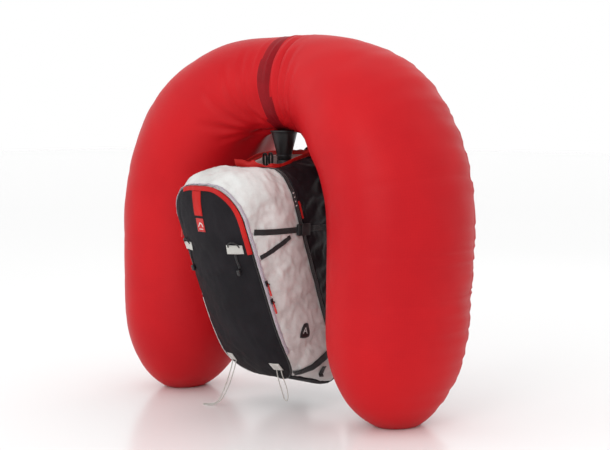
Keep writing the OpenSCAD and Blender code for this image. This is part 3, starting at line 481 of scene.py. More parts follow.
def ease(t):
    t = np.clip(t, 0, 1)
    return t * t * (3 - 2 * t)


def simulate_cloth(
    obj, pinned, pressure=0.0, growth=0.0, cap=0.012, stiffness=12.0, bend=0.4, frames=20, mass=0.15
):
    """Settle a cloth mesh under pressure, with a share of spare length, and limit how far a point moves."""
    mesh = obj.data
    rest = np.empty(len(mesh.vertices) * 3, np.float32)
    mesh.vertices.foreach_get("co", rest)
    group = obj.vertex_groups.new(name="sewn")
    for weight in np.unique(np.round(pinned, 2)):
        if weight > 0:
            group.add(
                [int(i) for i in np.nonzero(np.round(pinned, 2) == weight)[0]], float(weight), "REPLACE"
            )
    cloth = obj.modifiers.new("cloth", "CLOTH")
    made = cloth.settings
    made.quality = 4
    made.mass = mass
    made.tension_stiffness = made.compression_stiffness = stiffness
    made.shear_stiffness = stiffness * 0.5
    made.bending_stiffness = bend
    made.tension_damping = made.compression_damping = made.shear_damping = 12
    made.air_damping = 4
    made.shrink_min = -growth
    made.vertex_group_mass = "sewn"
    made.pin_stiffness = 3.0
    made.use_pressure = pressure != 0
    made.uniform_pressure_force = pressure
    made.effector_weights.gravity = 0
    cloth.collision_settings.use_collision = False
    cloth.point_cache.frame_start = 1
    cloth.point_cache.frame_end = frames
    for step in range(1, frames + 1):
        scene.frame_set(step)
    apply_modifiers(obj)
    obj.vertex_groups.clear()
    scene.frame_set(1)
    moved = np.empty(len(rest), np.float32)
    obj.data.vertices.foreach_get("co", moved)
    step = (moved - rest).reshape(-1, 3)
    length = np.linalg.norm(step, axis=1, keepdims=True)
    length = np.maximum(length, 1e-9)
    step *= cap * np.tanh(length / cap) / length
    obj.data.vertices.foreach_set("co", (rest.reshape(-1, 3) + step).ravel())
    obj.data.update()


def smooth_grid(points, rounds, loop_cols=False):
    """Even out a grid of points, its edges kept."""
    for _ in range(rounds):
        inner = points.copy()
        inner[1:-1] = (points[:-2] + 2 * points[1:-1] + points[2:]) / 4
        if loop_cols:
            inner = (np.roll(inner, 1, 1) + 2 * inner + np.roll(inner, -1, 1)) / 4
        else:
            inner[:, 1:-1] = (inner[:, :-2] + 2 * inner[:, 1:-1] + inner[:, 2:]) / 4
        points = inner
    return points


def framed(points):
    """Millimetres about the arch's plane, as an array, in the frame's metres."""
    return np.asarray(points, float) * MM + np.array([0, ARCH_Y, 0])


def spline(points, steps):
    """A smooth curve through a list of points."""
    p = np.asarray(points, float)
    n = len(p) - 1
    s = np.minimum(np.linspace(0, n, steps + 1), n - 1e-6)
    i = s.astype(int)
    f = (s - i)[:, None]
    a, b, c, d = p[np.maximum(i - 1, 0)], p[i], p[i + 1], p[np.minimum(i + 2, n)]
    return (2 * b + (c - a) * f + (2 * a - 5 * b + 4 * c - d) * f**2 + (3 * b - 3 * c + d - a) * f**3) / 2


def unit(v):
    v = np.asarray(v, float)
    return v / np.maximum(np.linalg.norm(v, axis=-1, keepdims=True), 1e-12)


def tangents(path):
    return unit(np.gradient(np.asarray(path, float), axis=0))


def loft(name, rings, material, closed=True, capped=True, body=None, along=None):
    """A solid through rings of points in metres, closed round and capped at both ends."""
    rings = np.asarray(rings, float)
    n, m = rings.shape[:2]
    faces = grid_faces(n, m, loop_cols=closed)
    if capped:
        faces.append(tuple(range(m - 1, -1, -1)))
        faces.append(tuple((n - 1) * m + k for k in range(m)))
    step = np.linalg.norm(np.diff(rings.mean(1), axis=0), axis=1)
    u = np.concatenate([[0], np.cumsum(step)]) if along is None else along
    side = np.concatenate([[0], np.cumsum(np.linalg.norm(np.diff(rings[n // 2], axis=0), axis=1))])
    uvs = np.stack(np.meshgrid(u, side, indexing="ij"), -1).reshape(-1, 2)
    obj = object_from(name, rings.reshape(-1, 3), faces, material, uvs)
    fix_normals(obj)
    if body:
        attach(obj, body)
    return obj


def fix_normals(obj):
    bm = bmesh.new()
    bm.from_mesh(obj.data)
    bmesh.ops.recalc_face_normals(bm, faces=bm.faces)
    bm.to_mesh(obj.data)
    bm.free()


def cord_rings(path, radius, sides=10, hint=(0.1, 0.2, 1.0), ends=True):
    """Rings round a path, with rounded ends."""
    path = np.asarray(path, float)
    t = tangents(path)
    side = unit(np.cross(t, np.asarray(hint, float)))
    up = np.cross(side, t)
    w = np.linspace(0, TAU, sides, endpoint=False)
    radius = np.broadcast_to(np.asarray(radius, float), (len(path),))

    def ring(k, centre, r):
        return centre + (side[k] * np.cos(w)[:, None] + up[k] * np.sin(w)[:, None]) * r

    rings = [ring(k, path[k], radius[k]) for k in range(len(path))]
    if ends:
        head = [
            ring(0, path[0] - t[0] * radius[0] * np.sin(a), radius[0] * np.cos(a)) for a in (1.35, 1.0, 0.55)
        ]
        tail = [
            ring(
                -1, path[-1] + t[-1] * radius[-1] * np.sin(a), radius[-1] * np.cos(a)
            ) for a in (0.55, 1.0, 1.35)
        ]
        rings = head + rings + tail
    return np.array(rings)


def round_cord(name, path, radius, material, body=None, sides=10, hint=(0.1, 0.2, 1.0)):
    return loft(name, cord_rings(path, radius, sides, hint), material, body=body)


def strap_rings(path, normals, width, thickness, lift=0.0, soft=0.35):
    """Rings of a flat strap whose underside lies on a path, with rounded edges."""
    path, normals = np.asarray(path, float), unit(normals)
    across = unit(np.cross(tangents(path), normals))
    width = np.broadcast_to(np.asarray(width, float), (len(path),))
    r = thickness / 2
    profile = []
    for share in np.linspace(-1, 1, 7):
        profile.append((share, -1 if abs(share) < 1 else -soft))
    for share in np.linspace(1, -1, 7):
        profile.append((share, 1 if abs(share) < 1 else soft))
    rings = []
    for p, n, b, w in zip(path, normals, across, width):
        rings.append([p + n * (lift + r + r * h) + b * (s * (w / 2)) for s, h in profile])
    return np.array(rings)


def strap(name, path, normals, width, thickness, material, body=None, lift=0.0):
    return loft(name, strap_rings(path, normals, width, thickness, lift), material, body=body)


def joined(name, pieces):
    """One object from several."""
    bm = bmesh.new()
    bm.loops.layers.uv.new("cloth")
    materials = []
    for piece in pieces:
        slots = []
        for m in piece.data.materials:
            if m not in materials:
                materials.append(m)
            slots.append(materials.index(m))
        start = len(bm.faces)
        bm.from_mesh(piece.data)
        bm.faces.ensure_lookup_table()
        for face in bm.faces[start:]:
            face.material_index = slots[face.material_index] if slots else 0
    mesh = bpy.data.meshes.new(name)
    bm.to_mesh(mesh)
    bm.free()
    for m in materials:
        mesh.materials.append(m)
    obj = bpy.data.objects.new(name, mesh)
    scene.collection.objects.link(obj)
    for piece in pieces:
        bpy.data.objects.remove(piece)
    return obj


def stitches(name, path, normals, pitch, length, thick, material, lift=0.0):
    """A row of short stitches along a path, in metres."""
    path, normals = np.asarray(path, float), unit(normals)
    step = np.linalg.norm(np.diff(path, axis=0), axis=1)
    run = np.concatenate([[0], np.cumsum(step)])
    count = max(int(run[-1] / pitch), 1)
    at = (np.arange(count) + 0.5) * run[-1] / count
    mid = np.stack([np.interp(at, run, path[:, k]) for k in range(3)], 1)
    t = tangents(path)
    way = unit(np.stack([np.interp(at, run, t[:, k]) for k in range(3)], 1))
    out = unit(np.stack([np.interp(at, run, normals[:, k]) for k in range(3)], 1))
    side = np.cross(way, out)
    verts, faces = [], []
    shape = [(-0.5, 0.0), (-0.38, 0.8), (0.0, 1.0), (0.38, 0.8), (0.5, 0.0)]
    for p, w, n, s in zip(mid, way, out, side):
        base = len(verts)
        for along, size in shape:
            for a in range(5):
                angle = TAU * a / 5
                verts.append(
                    p + w * along * length + n * (lift + math.cos(angle) * thick * 0.5 * max(size, 0.15))
                    + s * math.sin(angle) * thick * 0.5 * max(size, 0.15)
                )
        for i in range(len(shape) - 1):
            for a in range(5):
                b = (a + 1) % 5
                faces.append((base + i * 5 + a, base + i * 5 + b, base + i * 5 + 5 + b, base + i * 5 + 5 + a))
        faces.append(tuple(base + a for a in range(4, -1, -1)))
        faces.append(tuple(base + 20 + a for a in range(5)))
    return object_from(name, verts, faces, material, np.zeros((len(verts), 2)))


def block(name, size, radius, material, segments=3):
    """A moulded block about the origin, its edges rounded."""
    bm = bmesh.new()
    bmesh.ops.create_cube(bm, size=1.0)
    bmesh.ops.scale(bm, vec=size, verts=bm.verts)
    bmesh.ops.bevel(bm, geom=bm.edges[:], offset=radius, segments=segments, profile=0.5, affect="EDGES")
    return from_bmesh(name, bm, material)


def from_bmesh(name, bm, material):
    if not bm.loops.layers.uv:
        layer = bm.loops.layers.uv.new("cloth")
        for face in bm.faces:
            for loop in face.loops:
                loop[layer].uv = (loop.vert.co.x + loop.vert.co.z, loop.vert.co.y + loop.vert.co.z)
    mesh = bpy.data.meshes.new(name)
    bm.to_mesh(mesh)
    bm.free()
    mesh.polygons.foreach_set("use_smooth", [True] * len(mesh.polygons))
    mesh.materials.append(finish[material])
    obj = bpy.data.objects.new(name, mesh)
    scene.collection.objects.link(obj)
    return obj


def placed(obj, matrix):
    """Bake a placing matrix into the mesh."""
    obj.data.transform(matrix)
    if matrix.determinant() < 0:
        obj.data.flip_normals()
    return obj


# ---------- axe loop cords ----------
AXE_LOOPS = {
    "right": (
        "axe_loop_right",
        [
            [62, -129.5, 106], [61.5, -128, 101], [60.5, -125, 92], [59.5, -121, 82], [59.5, -117.5, 72],
            [60, -114, 62], [61.5, -111, 52], [63, -108.5, 42], [65, -107, 34], [68, -106, 28],
            [72, -105.5, 26], [76, -106, 28], [78.5, -107, 34], [80, -108.5, 42], [80.5, -111, 52],
            [80.5, -114, 62], [79.5, -117.5, 72], [78, -121, 82], [76.5, -124.5, 92], [75.5, -127, 101],
            [75, -128, 106],
        ],
        "hanging",
    ),
    "left": (
        "axe_loop_left",
        [
            [-66, -140, 116], [-66.5, -141.5, 110], [-68, -143.5, 98], [-70.5, -146.5, 84], [-74, -150, 68],
            [-78.5, -154, 52], [-84, -159, 36], [-90, -164.5, 21], [-97.5, -171, 9.5], [-106, -177.5, 3.4],
            [-115, -183, 1.7], [-124, -187.5, 1.6], [-132, -189, 1.6], [-138, -186, 1.6], [-139, -180, 1.6],
            [-134, -175.5, 1.6], [-126, -172.5, 1.7], [-117, -169, 3.2], [-108.5, -165, 9],
            [-101.5, -160.5, 21], [-96, -156, 36], [-91.5, -152, 52], [-87.5, -148, 68], [-84, -144.5, 84],
            [-81.5, -141.5, 98], [-80.3, -139, 110], [-80, -138.2, 116],
        ],
        "loose",
    ),
}
CORD_D = 2.6 * MM


for side, (node, points, lay) in AXE_LOOPS.items():
    route = framed(spline(points, 96))
    loop = round_cord("axe_loop_cord_" + side, route, CORD_D / 2, "cord", sides=12, hint=(0.3, 0.6, 0.2))
    hand_over(loop, "pack", "white_cord", node)
    tuple(route[0])
    [tuple(p) for p in route]


# ---------- the pack's surfaces, in millimetres about the arch's plane ----------
FRONT_W, PACK_W, FRONT_TOP, FRONT_REACH, FRONT_CROWN = 110, 133, 558, 285, 36
ROOF_Z, PANEL_T, BACK_Y, SEAM_GAP = 596, 2.5, 45, 1.4
TOE_Z, FULL_REACH_Z, STRAIGHT_Z, FRONT_FOOT, BASE_Z = 50, 520, 255, 75, 50


def mix(a, b, t):
    return a + (b - a) * t


def toe_curve(z):
    return (np.maximum(z - TOE_Z, 1) / (FULL_REACH_Z - TOE_Z)) ** 0.42


EDGE_SLOPE = 0.42 * float(toe_curve(STRAIGHT_Z)) / (STRAIGHT_Z - TOE_Z)


def front_y(z):
    z = np.asarray(z, float)
    return -FRONT_REACH * np.where(
        z < STRAIGHT_Z, toe_curve(z), toe_curve(STRAIGHT_Z) + EDGE_SLOPE * (z - STRAIGHT_Z)
    )


def divider_y(z):
    return np.maximum(-150, np.minimum(20 - 0.372 * (np.asarray(z, float) - 100), 20))


def sine(degrees):
    return np.sin(np.radians(degrees))


def main_section(t):
    """Half width, bottom, top, lower and upper corner radius of the main compartment at a depth."""
    t = np.asarray(t, float)
    return [
        FRONT_W + (PACK_W - FRONT_W) * sine(90 * np.clip(1.3 * t, 0, 1)),
        FRONT_FOOT - (FRONT_FOOT - BASE_Z) * sine(90 * np.clip(t, 0, 1)),
        FRONT_TOP + (ROOF_Z - FRONT_TOP) * sine(90 * np.clip(1.6 * t, 0, 1)),
        mix(72, 64, t),
        mix(85, 66, t),
    ]


def bay_section(t):
    """The same for the airbag bay, from the divider to the back panel."""
    t = np.asarray(t, float)
    return [
        mix(133, 126, t * t), mix(50, 56, t), mix(598, 626, ease(t * 1.3)), mix(64, 60, t), mix(66, 58, t),
    ]


def half_width(q, z):
    w, low, high, foot, corner = q
    up = np.sqrt(np.maximum(corner**2 - (z - high + corner) ** 2, 0))
    down = np.sqrt(np.maximum(foot**2 - (low + foot - z) ** 2, 0))
    return np.where(z > high - corner, w - corner + up, np.where(z < low + foot, w - foot + down, w))


def girth_point(q, share):
    """A point on a section's right half: share 0 is the middle of the base, 1 the middle of the top."""
    w, low, high, foot, corner = [float(v) for v in q]
    runs = [w - foot, foot * math.pi / 2, high - corner - low - foot, corner * math.pi / 2, w - corner]
    left = share * sum(runs)
    if left <= runs[0]:
        return left, low
    left -= runs[0]
    if left <= runs[1]:
        a = left / foot
        return w - foot + foot * math.sin(a), low + foot - foot * math.cos(a)
    left -= runs[1]
    if left <= runs[2]:
        return w, low + foot + left
    left -= runs[2]
    if left <= runs[3]:
        a = left / corner
        return w - corner + corner * math.cos(a), high - corner + corner * math.sin(a)
    left -= runs[3]
    return max(w - corner - left, 0.0), high


def girth_share(q, step):
    """The share of a section's half girth at the joint between two of its runs (1 foot, 3 side, 4 corner)."""
    w, low, high, foot, corner = [float(v) for v in q]
    runs = [w - foot, foot * math.pi / 2, high - corner - low - foot, corner * math.pi / 2, w - corner]
    return sum(runs[:int(step)]) / sum(runs) + (step - int(step)) * runs[min(int(step), 4)] / sum(runs)


def front_bulge(a, v):
    return FRONT_CROWN * np.maximum(1 - a * a, 0) ** 0.8 * np.sqrt(np.maximum(sine(180 * v), 0))


def on_front(x, z, out=0.0):
    """A point on the front panel's surface, moved outwards."""

    def flat(x, z):
        q = main_section(0.0)
        a = np.clip(np.abs(x) / half_width(q, z), 0, 1)
        return np.array([x, float(front_y(z) - front_bulge(a, (z - q[1]) / (q[2] - q[1]))), z])

    p = flat(x, z)
    if out:
        p = p + front_normal(x, z) * out
    return p


def front_normal(x, z):
    across = on_front(x + 1, z) - on_front(x - 1, z)
    up = on_front(x, z + 1) - on_front(x, z - 1)
    return unit(np.cross(across, up))


def side_x(y, z):
    if y < divider_y(z):
        t = np.clip((y - front_y(z)) / (divider_y(z) - front_y(z)), 0, 1)
        return float(half_width(main_section(t), z))
    t = np.clip((y - divider_y(z)) / (BACK_Y - divider_y(z)), 0, 1)
    return float(half_width(bay_section(t), z))


def side_normal(y, z):
    def p(y, z):
        return np.array([side_x(y, z), y, z])

    return unit(np.cross(p(y + 3, z) - p(y - 3, z), p(y, z + 3) - p(y, z - 3)))


def on_side(y, z, out=0.0, mirror=1):
    p = np.array([side_x(y, z), y, z])
    if out:
        p = p + side_normal(y, z) * out
    return p * np.array([mirror, 1, 1])


def main_y(t, z):
    return mix(front_y(z) + PANEL_T + SEAM_GAP, divider_y(z) - SEAM_GAP, t)


def bay_y(t, z):
    return mix(divider_y(z) + PANEL_T + SEAM_GAP, BACK_Y - PANEL_T - SEAM_GAP, t)


def wall_steps(section, depth, rows, cols, low, high):
    """A wall's grid between two joints of the girth, from the left side over to the right."""
    grid = np.zeros((rows, cols, 3))
    for i, t in enumerate(np.linspace(0, 1, rows)):
        q = section(t)
        a, b = girth_share(q, low), min(girth_share(q, high), 1.0)
        for j, c in enumerate(np.linspace(-1, 1, cols)):
            x, z = girth_point(q, mix(a, b, 1 - abs(c)))
            grid[i, j] = (math.copysign(x, c) if c else 0.0, float(depth(t, z)), z)
    return grid


def half_wall(section, depth, rows, cols, low, high, side):
    grid = np.zeros((rows, cols, 3))
    for i, t in enumerate(np.linspace(0, 1, rows)):
        q = section(t)
        a, b = girth_share(q, low), min(girth_share(q, high), 1.0)
        for j, c in enumerate(np.linspace(0, 1, cols)):
            x, z = girth_point(q, mix(a, b, c))
            grid[i, j] = (side * x, float(depth(t, z)), z)
    return grid


def edge_weights(rows, cols, keep=1, fade=3, loop_cols=False):
    """Pinning weights: 1 at a grid's edges, fading to 0 inside."""
    i = np.minimum(np.arange(rows), np.arange(rows)[::-1])
    j = np.minimum(np.arange(cols), np.arange(cols)[::-1])
    near = i[:, None] * np.ones(cols)[None] if loop_cols else np.minimum(i[:, None], j[None])
    return np.clip(1 - (near - keep + 1) / fade, 0, 1)


class Cloth:
    """A finished cloth surface that fittings are laid on."""

    def __init__(self, *objects):
        verts, faces = [], []
        for obj in objects:
            start = len(verts)
            verts += [v.co.copy() for v in obj.data.vertices]
            faces += [tuple(start + i for i in p.vertices) for p in obj.data.polygons]
        self.tree = BVHTree.FromPolygons(verts, faces)

    def lay(self, points, normals, lift=0.0, reach=0.02):
        """Move points, in metres, along their normals on to the surface, then lift them."""
        points, normals = np.asarray(points, float), unit(normals)
        out = points.copy()
        flat, ways = out.reshape(-1, 3), np.broadcast_to(normals, out.shape).reshape(-1, 3)
        for k, (p, n) in enumerate(zip(flat, ways)):
            hit = self.tree.ray_cast(Vector(p + n * reach), Vector(-n), reach * 2)
            base = np.array(hit[0]) if hit[0] is not None else p
            flat[k] = base + n * lift
        return out


def even(path, normals, rounds=4):
    """Pull a path laid on creased cloth straighter, as webbing lies."""
    p = np.asarray(path, float).copy()
    n = unit(normals)
    for _ in range(rounds):
        q = p.copy()
        q[1:-1] = (p[:-2] + 2 * p[1:-1] + p[2:]) / 4
        rise = ((q - p) * n).sum(1, keepdims=True)
        p = p + n * np.maximum(rise, 0) + (q - p - n * rise) * 0.5
        p[0], p[-1] = q[0], q[-1]
    return p


# ---------- front panel ----------
FRONT_ROWS, FRONT_COLS = 76, 58


def front_grid():
    q = main_section(0.0)
    grid = np.zeros((FRONT_ROWS, FRONT_COLS, 3))
    for i in range(FRONT_ROWS):
        z = mix(q[1], q[2], (1 - math.cos(math.pi * i / (FRONT_ROWS - 1))) / 2)
        w = float(half_width(q, z))
        for j in range(FRONT_COLS):
            a = mix(-1, 1, j / (FRONT_COLS - 1))
            grid[i, j] = (a * w, float(front_y(z) - front_bulge(abs(a), (z - q[1]) / (q[2] - q[1]))), z)
    return grid


def soft_folds(points, folds):
    """Long soft folds, each (x0, z0, x1, z1, width, height) in millimetres, as a height for each point."""
    height = np.zeros(points.shape[:-1])
    for x0, z0, x1, z1, width, tall in folds:
        a, b = np.array([x0, z0], float), np.array([x1, z1], float)
        p = points[..., [0, 2]] - a
        way = (b - a) / np.linalg.norm(b - a)
        along = p @ way
        span = np.linalg.norm(b - a)
        off = p[..., 0] * way[1] - p[..., 1] * way[0]
        bend = 0.08 * span * np.sin(math.pi * np.clip(along / span, 0, 1)) * (1 if x0 > x1 else -1)
        inside = np.clip(1 - (2 * np.clip(along / span, 0, 1) - 1) ** 2, 0, 1) ** 0.7
        inside = np.where((along < 0) | (along > span), 0, inside)
        height += tall * inside * np.exp(-(((off - bend) / width) ** 2))
    return height


front_shape = front_grid()
front_height = soft_folds(
    front_shape,
    [
        (-88, 500, -92, 330, 7, 2.2), (-68, 540, -74, 400, 5, -1.8), (-4, 540, 2, 430, 6, 1.8),
        (16, 545, 26, 380, 8, -1.6),
        (38, 535, 44, 430, 5, 1.8), (60, 520, 66, 440, 6, -1.5), (-60, 380, -72, 180, 10, 1.8),
        (-86, 300, -70, 150, 7, 2.0),
        (-30, 320, -46, 170, 12, -1.6), (30, 330, 12, 170, 12, 1.6), (70, 300, 52, 150, 9, -1.4),
        (-78, 200, 10, 120, 9, 1.8),
        (84, 180, 10, 108, 8, 1.6), (0, 160, -40, 100, 8, -1.4),
    ],
)
front_height += 0.7 * lumps(front_shape, 46.0, 3) + 0.35 * lumps(front_shape, 21.0, 4)
front_shape = framed(front_shape)
fade = 1 - edge_weights(FRONT_ROWS, FRONT_COLS, 1, 5)
front_shape = front_shape + grid_normals(front_shape) * (front_height * fade * MM)[..., None]
front_cloth = sheet_object("front_cloth", front_shape, "front")
simulate_cloth(front_cloth, edge_weights(FRONT_ROWS, FRONT_COLS, 1, 2).ravel(), 0.8, 0.012, 0.004)
front_surface = Cloth(front_cloth)
thicken(front_cloth, PANEL_T * MM)
hand_over(front_cloth, "pack", "charcoal_cloth", "front_panel")


# ---------- grey side and top cloth ----------
GREY_ROWS, GREY_COLS = 44, 190
grey_shape = framed(wall_steps(main_section, main_y, GREY_ROWS, GREY_COLS, 1.4, 5.0))
grey_normals = grid_normals(grey_shape)
s = np.linspace(0, 1, GREY_ROWS)[:, None]
c = np.linspace(-1, 1, GREY_COLS)[None]
slack = np.sin(math.pi * s) ** 0.8 * np.ones_like(c)
height = -2.4 * slack + 2.6 * slack * lumps(grey_shape, 0.085, 11) + 1.5 * slack * (
    1 - 2 * np.abs(lumps(grey_shape, 0.05, 12))
)
height += 0.8 * slack * (1 - 2 * np.abs(lumps(grey_shape * np.array([1, 1.6, 0.7]), 0.026, 13)))
grey_shape = grey_shape + grey_normals * (height * MM)[..., None]
grey_cloth = sheet_object("side_and_top_cloth", grey_shape, "grey")
simulate_cloth(grey_cloth, edge_weights(GREY_ROWS, GREY_COLS, 1, 2).ravel(), 0.7, 0.03, 0.006, bend=0.15)
grey_surface = Cloth(grey_cloth)
thicken(grey_cloth, 1.6 * MM)
hand_over(grey_cloth, "pack", "light_grey_cloth", "side_panel_right", "side_panel_left", "top_panel")


# ---------- airbag bay ----------
BAY_ROWS, BAY_COLS = 46, 112
bay_parts = []
for side in (1, -1):
    shape = framed(half_wall(bay_section, bay_y, BAY_ROWS, BAY_COLS, 0.02, 4.0, side))
    out = -grid_normals(shape) * side
    s = np.linspace(0, 1, BAY_ROWS)[:, None]
    slack = np.sin(math.pi * s) ** 0.8 * np.clip(np.linspace(0, 8, BAY_COLS), 0, 1)[None]
    height = -1.2 * slack + 2.0 * slack * lumps(shape, 0.07, 21 + side) + 1.4 * slack * (
        1 - 2 * np.abs(lumps(shape, 0.042, 24 + side))
    )
    shape = shape + out * (height * MM)[..., None]
    if side > 0:
        shape = shape[:, ::-1]
    part = sheet_object("bay_cloth_" + ("right" if side > 0 else "left"), shape, "black")
    simulate_cloth(part, edge_weights(BAY_ROWS, BAY_COLS, 1, 2).ravel(), 0.6, 0.025, 0.005, bend=0.2)
    bay_parts.append(part)
for part in bay_parts:
    thicken(part, 1.6 * MM)
    hand_over(part, "pack", "black_cloth", "bay_sides")
side_surface = Cloth(grey_cloth, *bay_parts)

# The base under the main compartment
base_shape = framed(wall_steps(main_section, main_y, 26, 60, 1.36, 0.0))[:, ::-1]
base_shape = base_shape - grid_normals(base_shape) * 0.0008
base_shape = base_shape + grid_normals(base_shape) * (
    0.8 * MM * lumps(base_shape, 0.05, 31) * (1 - edge_weights(26, 60))
)[..., None]
base_cloth = sheet_object("base_cloth", base_shape, "front")
thicken(base_cloth, 1.8 * MM)
hand_over(base_cloth, "pack", "black_cloth", "base_panel")


# ---------- airbag ----------
# Millimetres: the tube's crown and lobes, then how the lobes lean, turn in and end on the floor
BAG = dict(top=920, lobe_x=356, lobe_z=434, crown_a=115, crown_b=110, lobe_a=162, lobe_b=190)
LEAN, TURN_IN, END_SHIFT, END_L = 0.044, 8, 21, 231
END_TAPER, DEPTH_TAPER, TAPER_POWER = 0.09, 0.7 * 0.09, 1.5
FLOOR_FLAT, GROWTH_ARC, SWELL = 12, 51, 0.04
END_FROM = 2 - END_L / BAG["lobe_z"]
FLOOR_SHARE = (1 + BAG["lobe_z"] / (BAG["lobe_z"] + FLOOR_FLAT) - END_FROM) * BAG["lobe_z"] / END_L
CROWN_Z = BAG["top"] - BAG["crown_a"]


def centre_xz(s):
    """The right lobe's centre line: s = 0 at the crown, 1 where the arch ends, 2 at the floor."""
    s = np.asarray(s, float)
    u = np.maximum(s - 1, 0)
    turn = np.minimum(s, 1) * math.pi / 2
    shoulder = 1 + SWELL * np.sin(2 * turn) ** 2
    x = np.where(s <= 1, BAG["lobe_x"] * np.sin(turn) * shoulder, BAG["lobe_x"] - TURN_IN * u * u)
    z = np.where(
        s <= 1,
        BAG["lobe_z"] + (CROWN_Z - BAG["lobe_z"]) * np.cos(turn) * shoulder,
        BAG["lobe_z"] - (BAG["lobe_z"] + FLOOR_FLAT) * u,
    )
    return np.stack([x, z], -1)


def airbag_points(s, w, inset=0.0):
    """Points of the airbag: s runs from -2, the left lobe's end, to 2; w is the angle round the tube."""
    side = np.where(s < 0, -1.0, 1.0)
    s = np.abs(s)
    c = centre_xz(s)
    t = unit(centre_xz(s + 0.01) - centre_xz(s - 0.01))
    n = np.stack([-t[..., 1], t[..., 0]], -1)
    u = np.maximum(s - 1, 0)
    end = np.clip((s - END_FROM) * BAG["lobe_z"] / END_L, 0, 1)
    k = np.sqrt(np.maximum(1 - end**2, 0.0004))
    grown = ease(90 * s / GROWTH_ARC)
    a = (mix(BAG["crown_a"], BAG["lobe_a"], grown) - inset) * k * (1 - END_TAPER * u**TAPER_POWER)
    b = (mix(BAG["crown_b"], BAG["lobe_b"], grown) - inset) * k * (1 - DEPTH_TAPER * u**TAPER_POWER)
    x = c[..., 0] + END_SHIFT * (1 - k)
    y = -LEAN * (CROWN_Z - c[..., 1])
    rise = n[..., 1] * a * (1 - ease(end / FLOOR_SHARE))
    return np.stack(
        [
            side * (x + n[..., 0] * a * np.cos(w)), y + b * np.sin(w),
            np.maximum(c[..., 1] + rise * np.cos(w), inset)
        ], -1
    )


def fold_line(x, w, points, width, depth, ridge_share=0.35):
    """A crease along a line of (x, angle) points: a narrow valley with a low ridge on each side."""
    p = np.asarray(points, float)
    curve = spline(np.c_[p[:, 0], p[:, 1] * 2.0], 40)
    here = np.stack([x, np.degrees(w) * 2.0], -1)
    best = np.full(x.shape, 1e9)
    share = np.zeros(x.shape)
    for k in range(len(curve) - 1):
        a, b = curve[k], curve[k + 1]
        ab = b - a
        t = np.clip(((here - a) @ ab) / max(ab @ ab, 1e-9), 0, 1)
        d = np.linalg.norm(here - (a + t[..., None] * ab), axis=-1)
        near = d < best
        best = np.where(near, d, best)
        share = np.where(near, (k + t) / (len(curve) - 1), share)
    body = np.sin(math.pi * np.clip(share, 0.02, 0.98)) ** 0.6
    return body * (
        -depth * np.exp(-((best / width) ** 2)) + ridge_share * depth * np.exp(
            -(((best - 1.9 * width) / width) ** 2)
        )
    )


def airbag_creases(w, points):
    """Heights of the gathers at the crown, in millimetres."""
    x = points[..., 0]
    height = np.zeros(x.shape)
    turn = np.degrees(w)
    # Deep creases round the crown, from the top down to the neck
    crown = [
        ([(30, 5), (22, -30), (17, -75), (19, -125), (24, -160)], 5.0, 6.0),
        ([(62, -5), (52, -40), (47, -80), (44, -120), (34, -160)], 6.0, 5.0),
        ([(-22, 0), (-24, -40), (-26, -85), (-24, -125), (-20, -160)], 4.0, 2.4),
        ([(92, -40), (80, -70), (72, -100), (60, -135), (40, -165)], 6.0, 3.6),
        ([(118, -65), (100, -92), (86, -120), (66, -150), (44, -170)], 6.0, 3.4),
        ([(-50, -50), (-46, -85), (-40, -120), (-28, -155)], 5.0, 2.4),
        ([(-82, -45), (-70, -85), (-54, -122), (-32, -158)], 6.0, 2.8),
        ([(-124, -62), (-104, -92), (-74, -126), (-40, -160)], 7.0, 3.2),
        ([(-168, -84), (-134, -106), (-90, -134), (-44, -164)], 7.0, 3.0),
        ([(-176, -112), (-134, -128), (-86, -148), (-44, -168)], 6.0, 2.8),
        ([(-150, -136), (-104, -148), (-60, -164)], 5.0, 2.2),
        ([(0, 8), (-4, -40), (-6, -90), (-4, -140)], 7.0, 1.4),
    ]
    sign = np.where(turn > 180, turn - 360, turn)
    for line, width, depth in crown:
        height += fold_line(x, np.radians(sign), line, width, depth)
        # The back has like creases, which run to the same neck
        back = [(x0 * 0.92 + 3, -w0) for x0, w0 in line]
        height += fold_line(x, np.radians(sign), back, width * 1.1, depth * 0.8)
    # Finer gathers close to the neck
    ring = np.hypot(x, (points[..., 1] + 35))
    around = np.arctan2(points[..., 1] + 35, x)
    under = np.clip(-np.cos(w), 0, 1) ** 1.5
    gather = np.sin(around * 17 + 1.3 * np.sin(around * 5)) + 0.6 * np.sin(around * 29 + 2)
    height += under * gather * 1.5 * np.exp(-(((ring - 62) / 34) ** 2))
    height += under * np.sin(
        around * 11 + 0.8 * np.sin(3 * around)
    ) * 2.2 * np.exp(-(((ring - 105) / 60) ** 2))
    return height


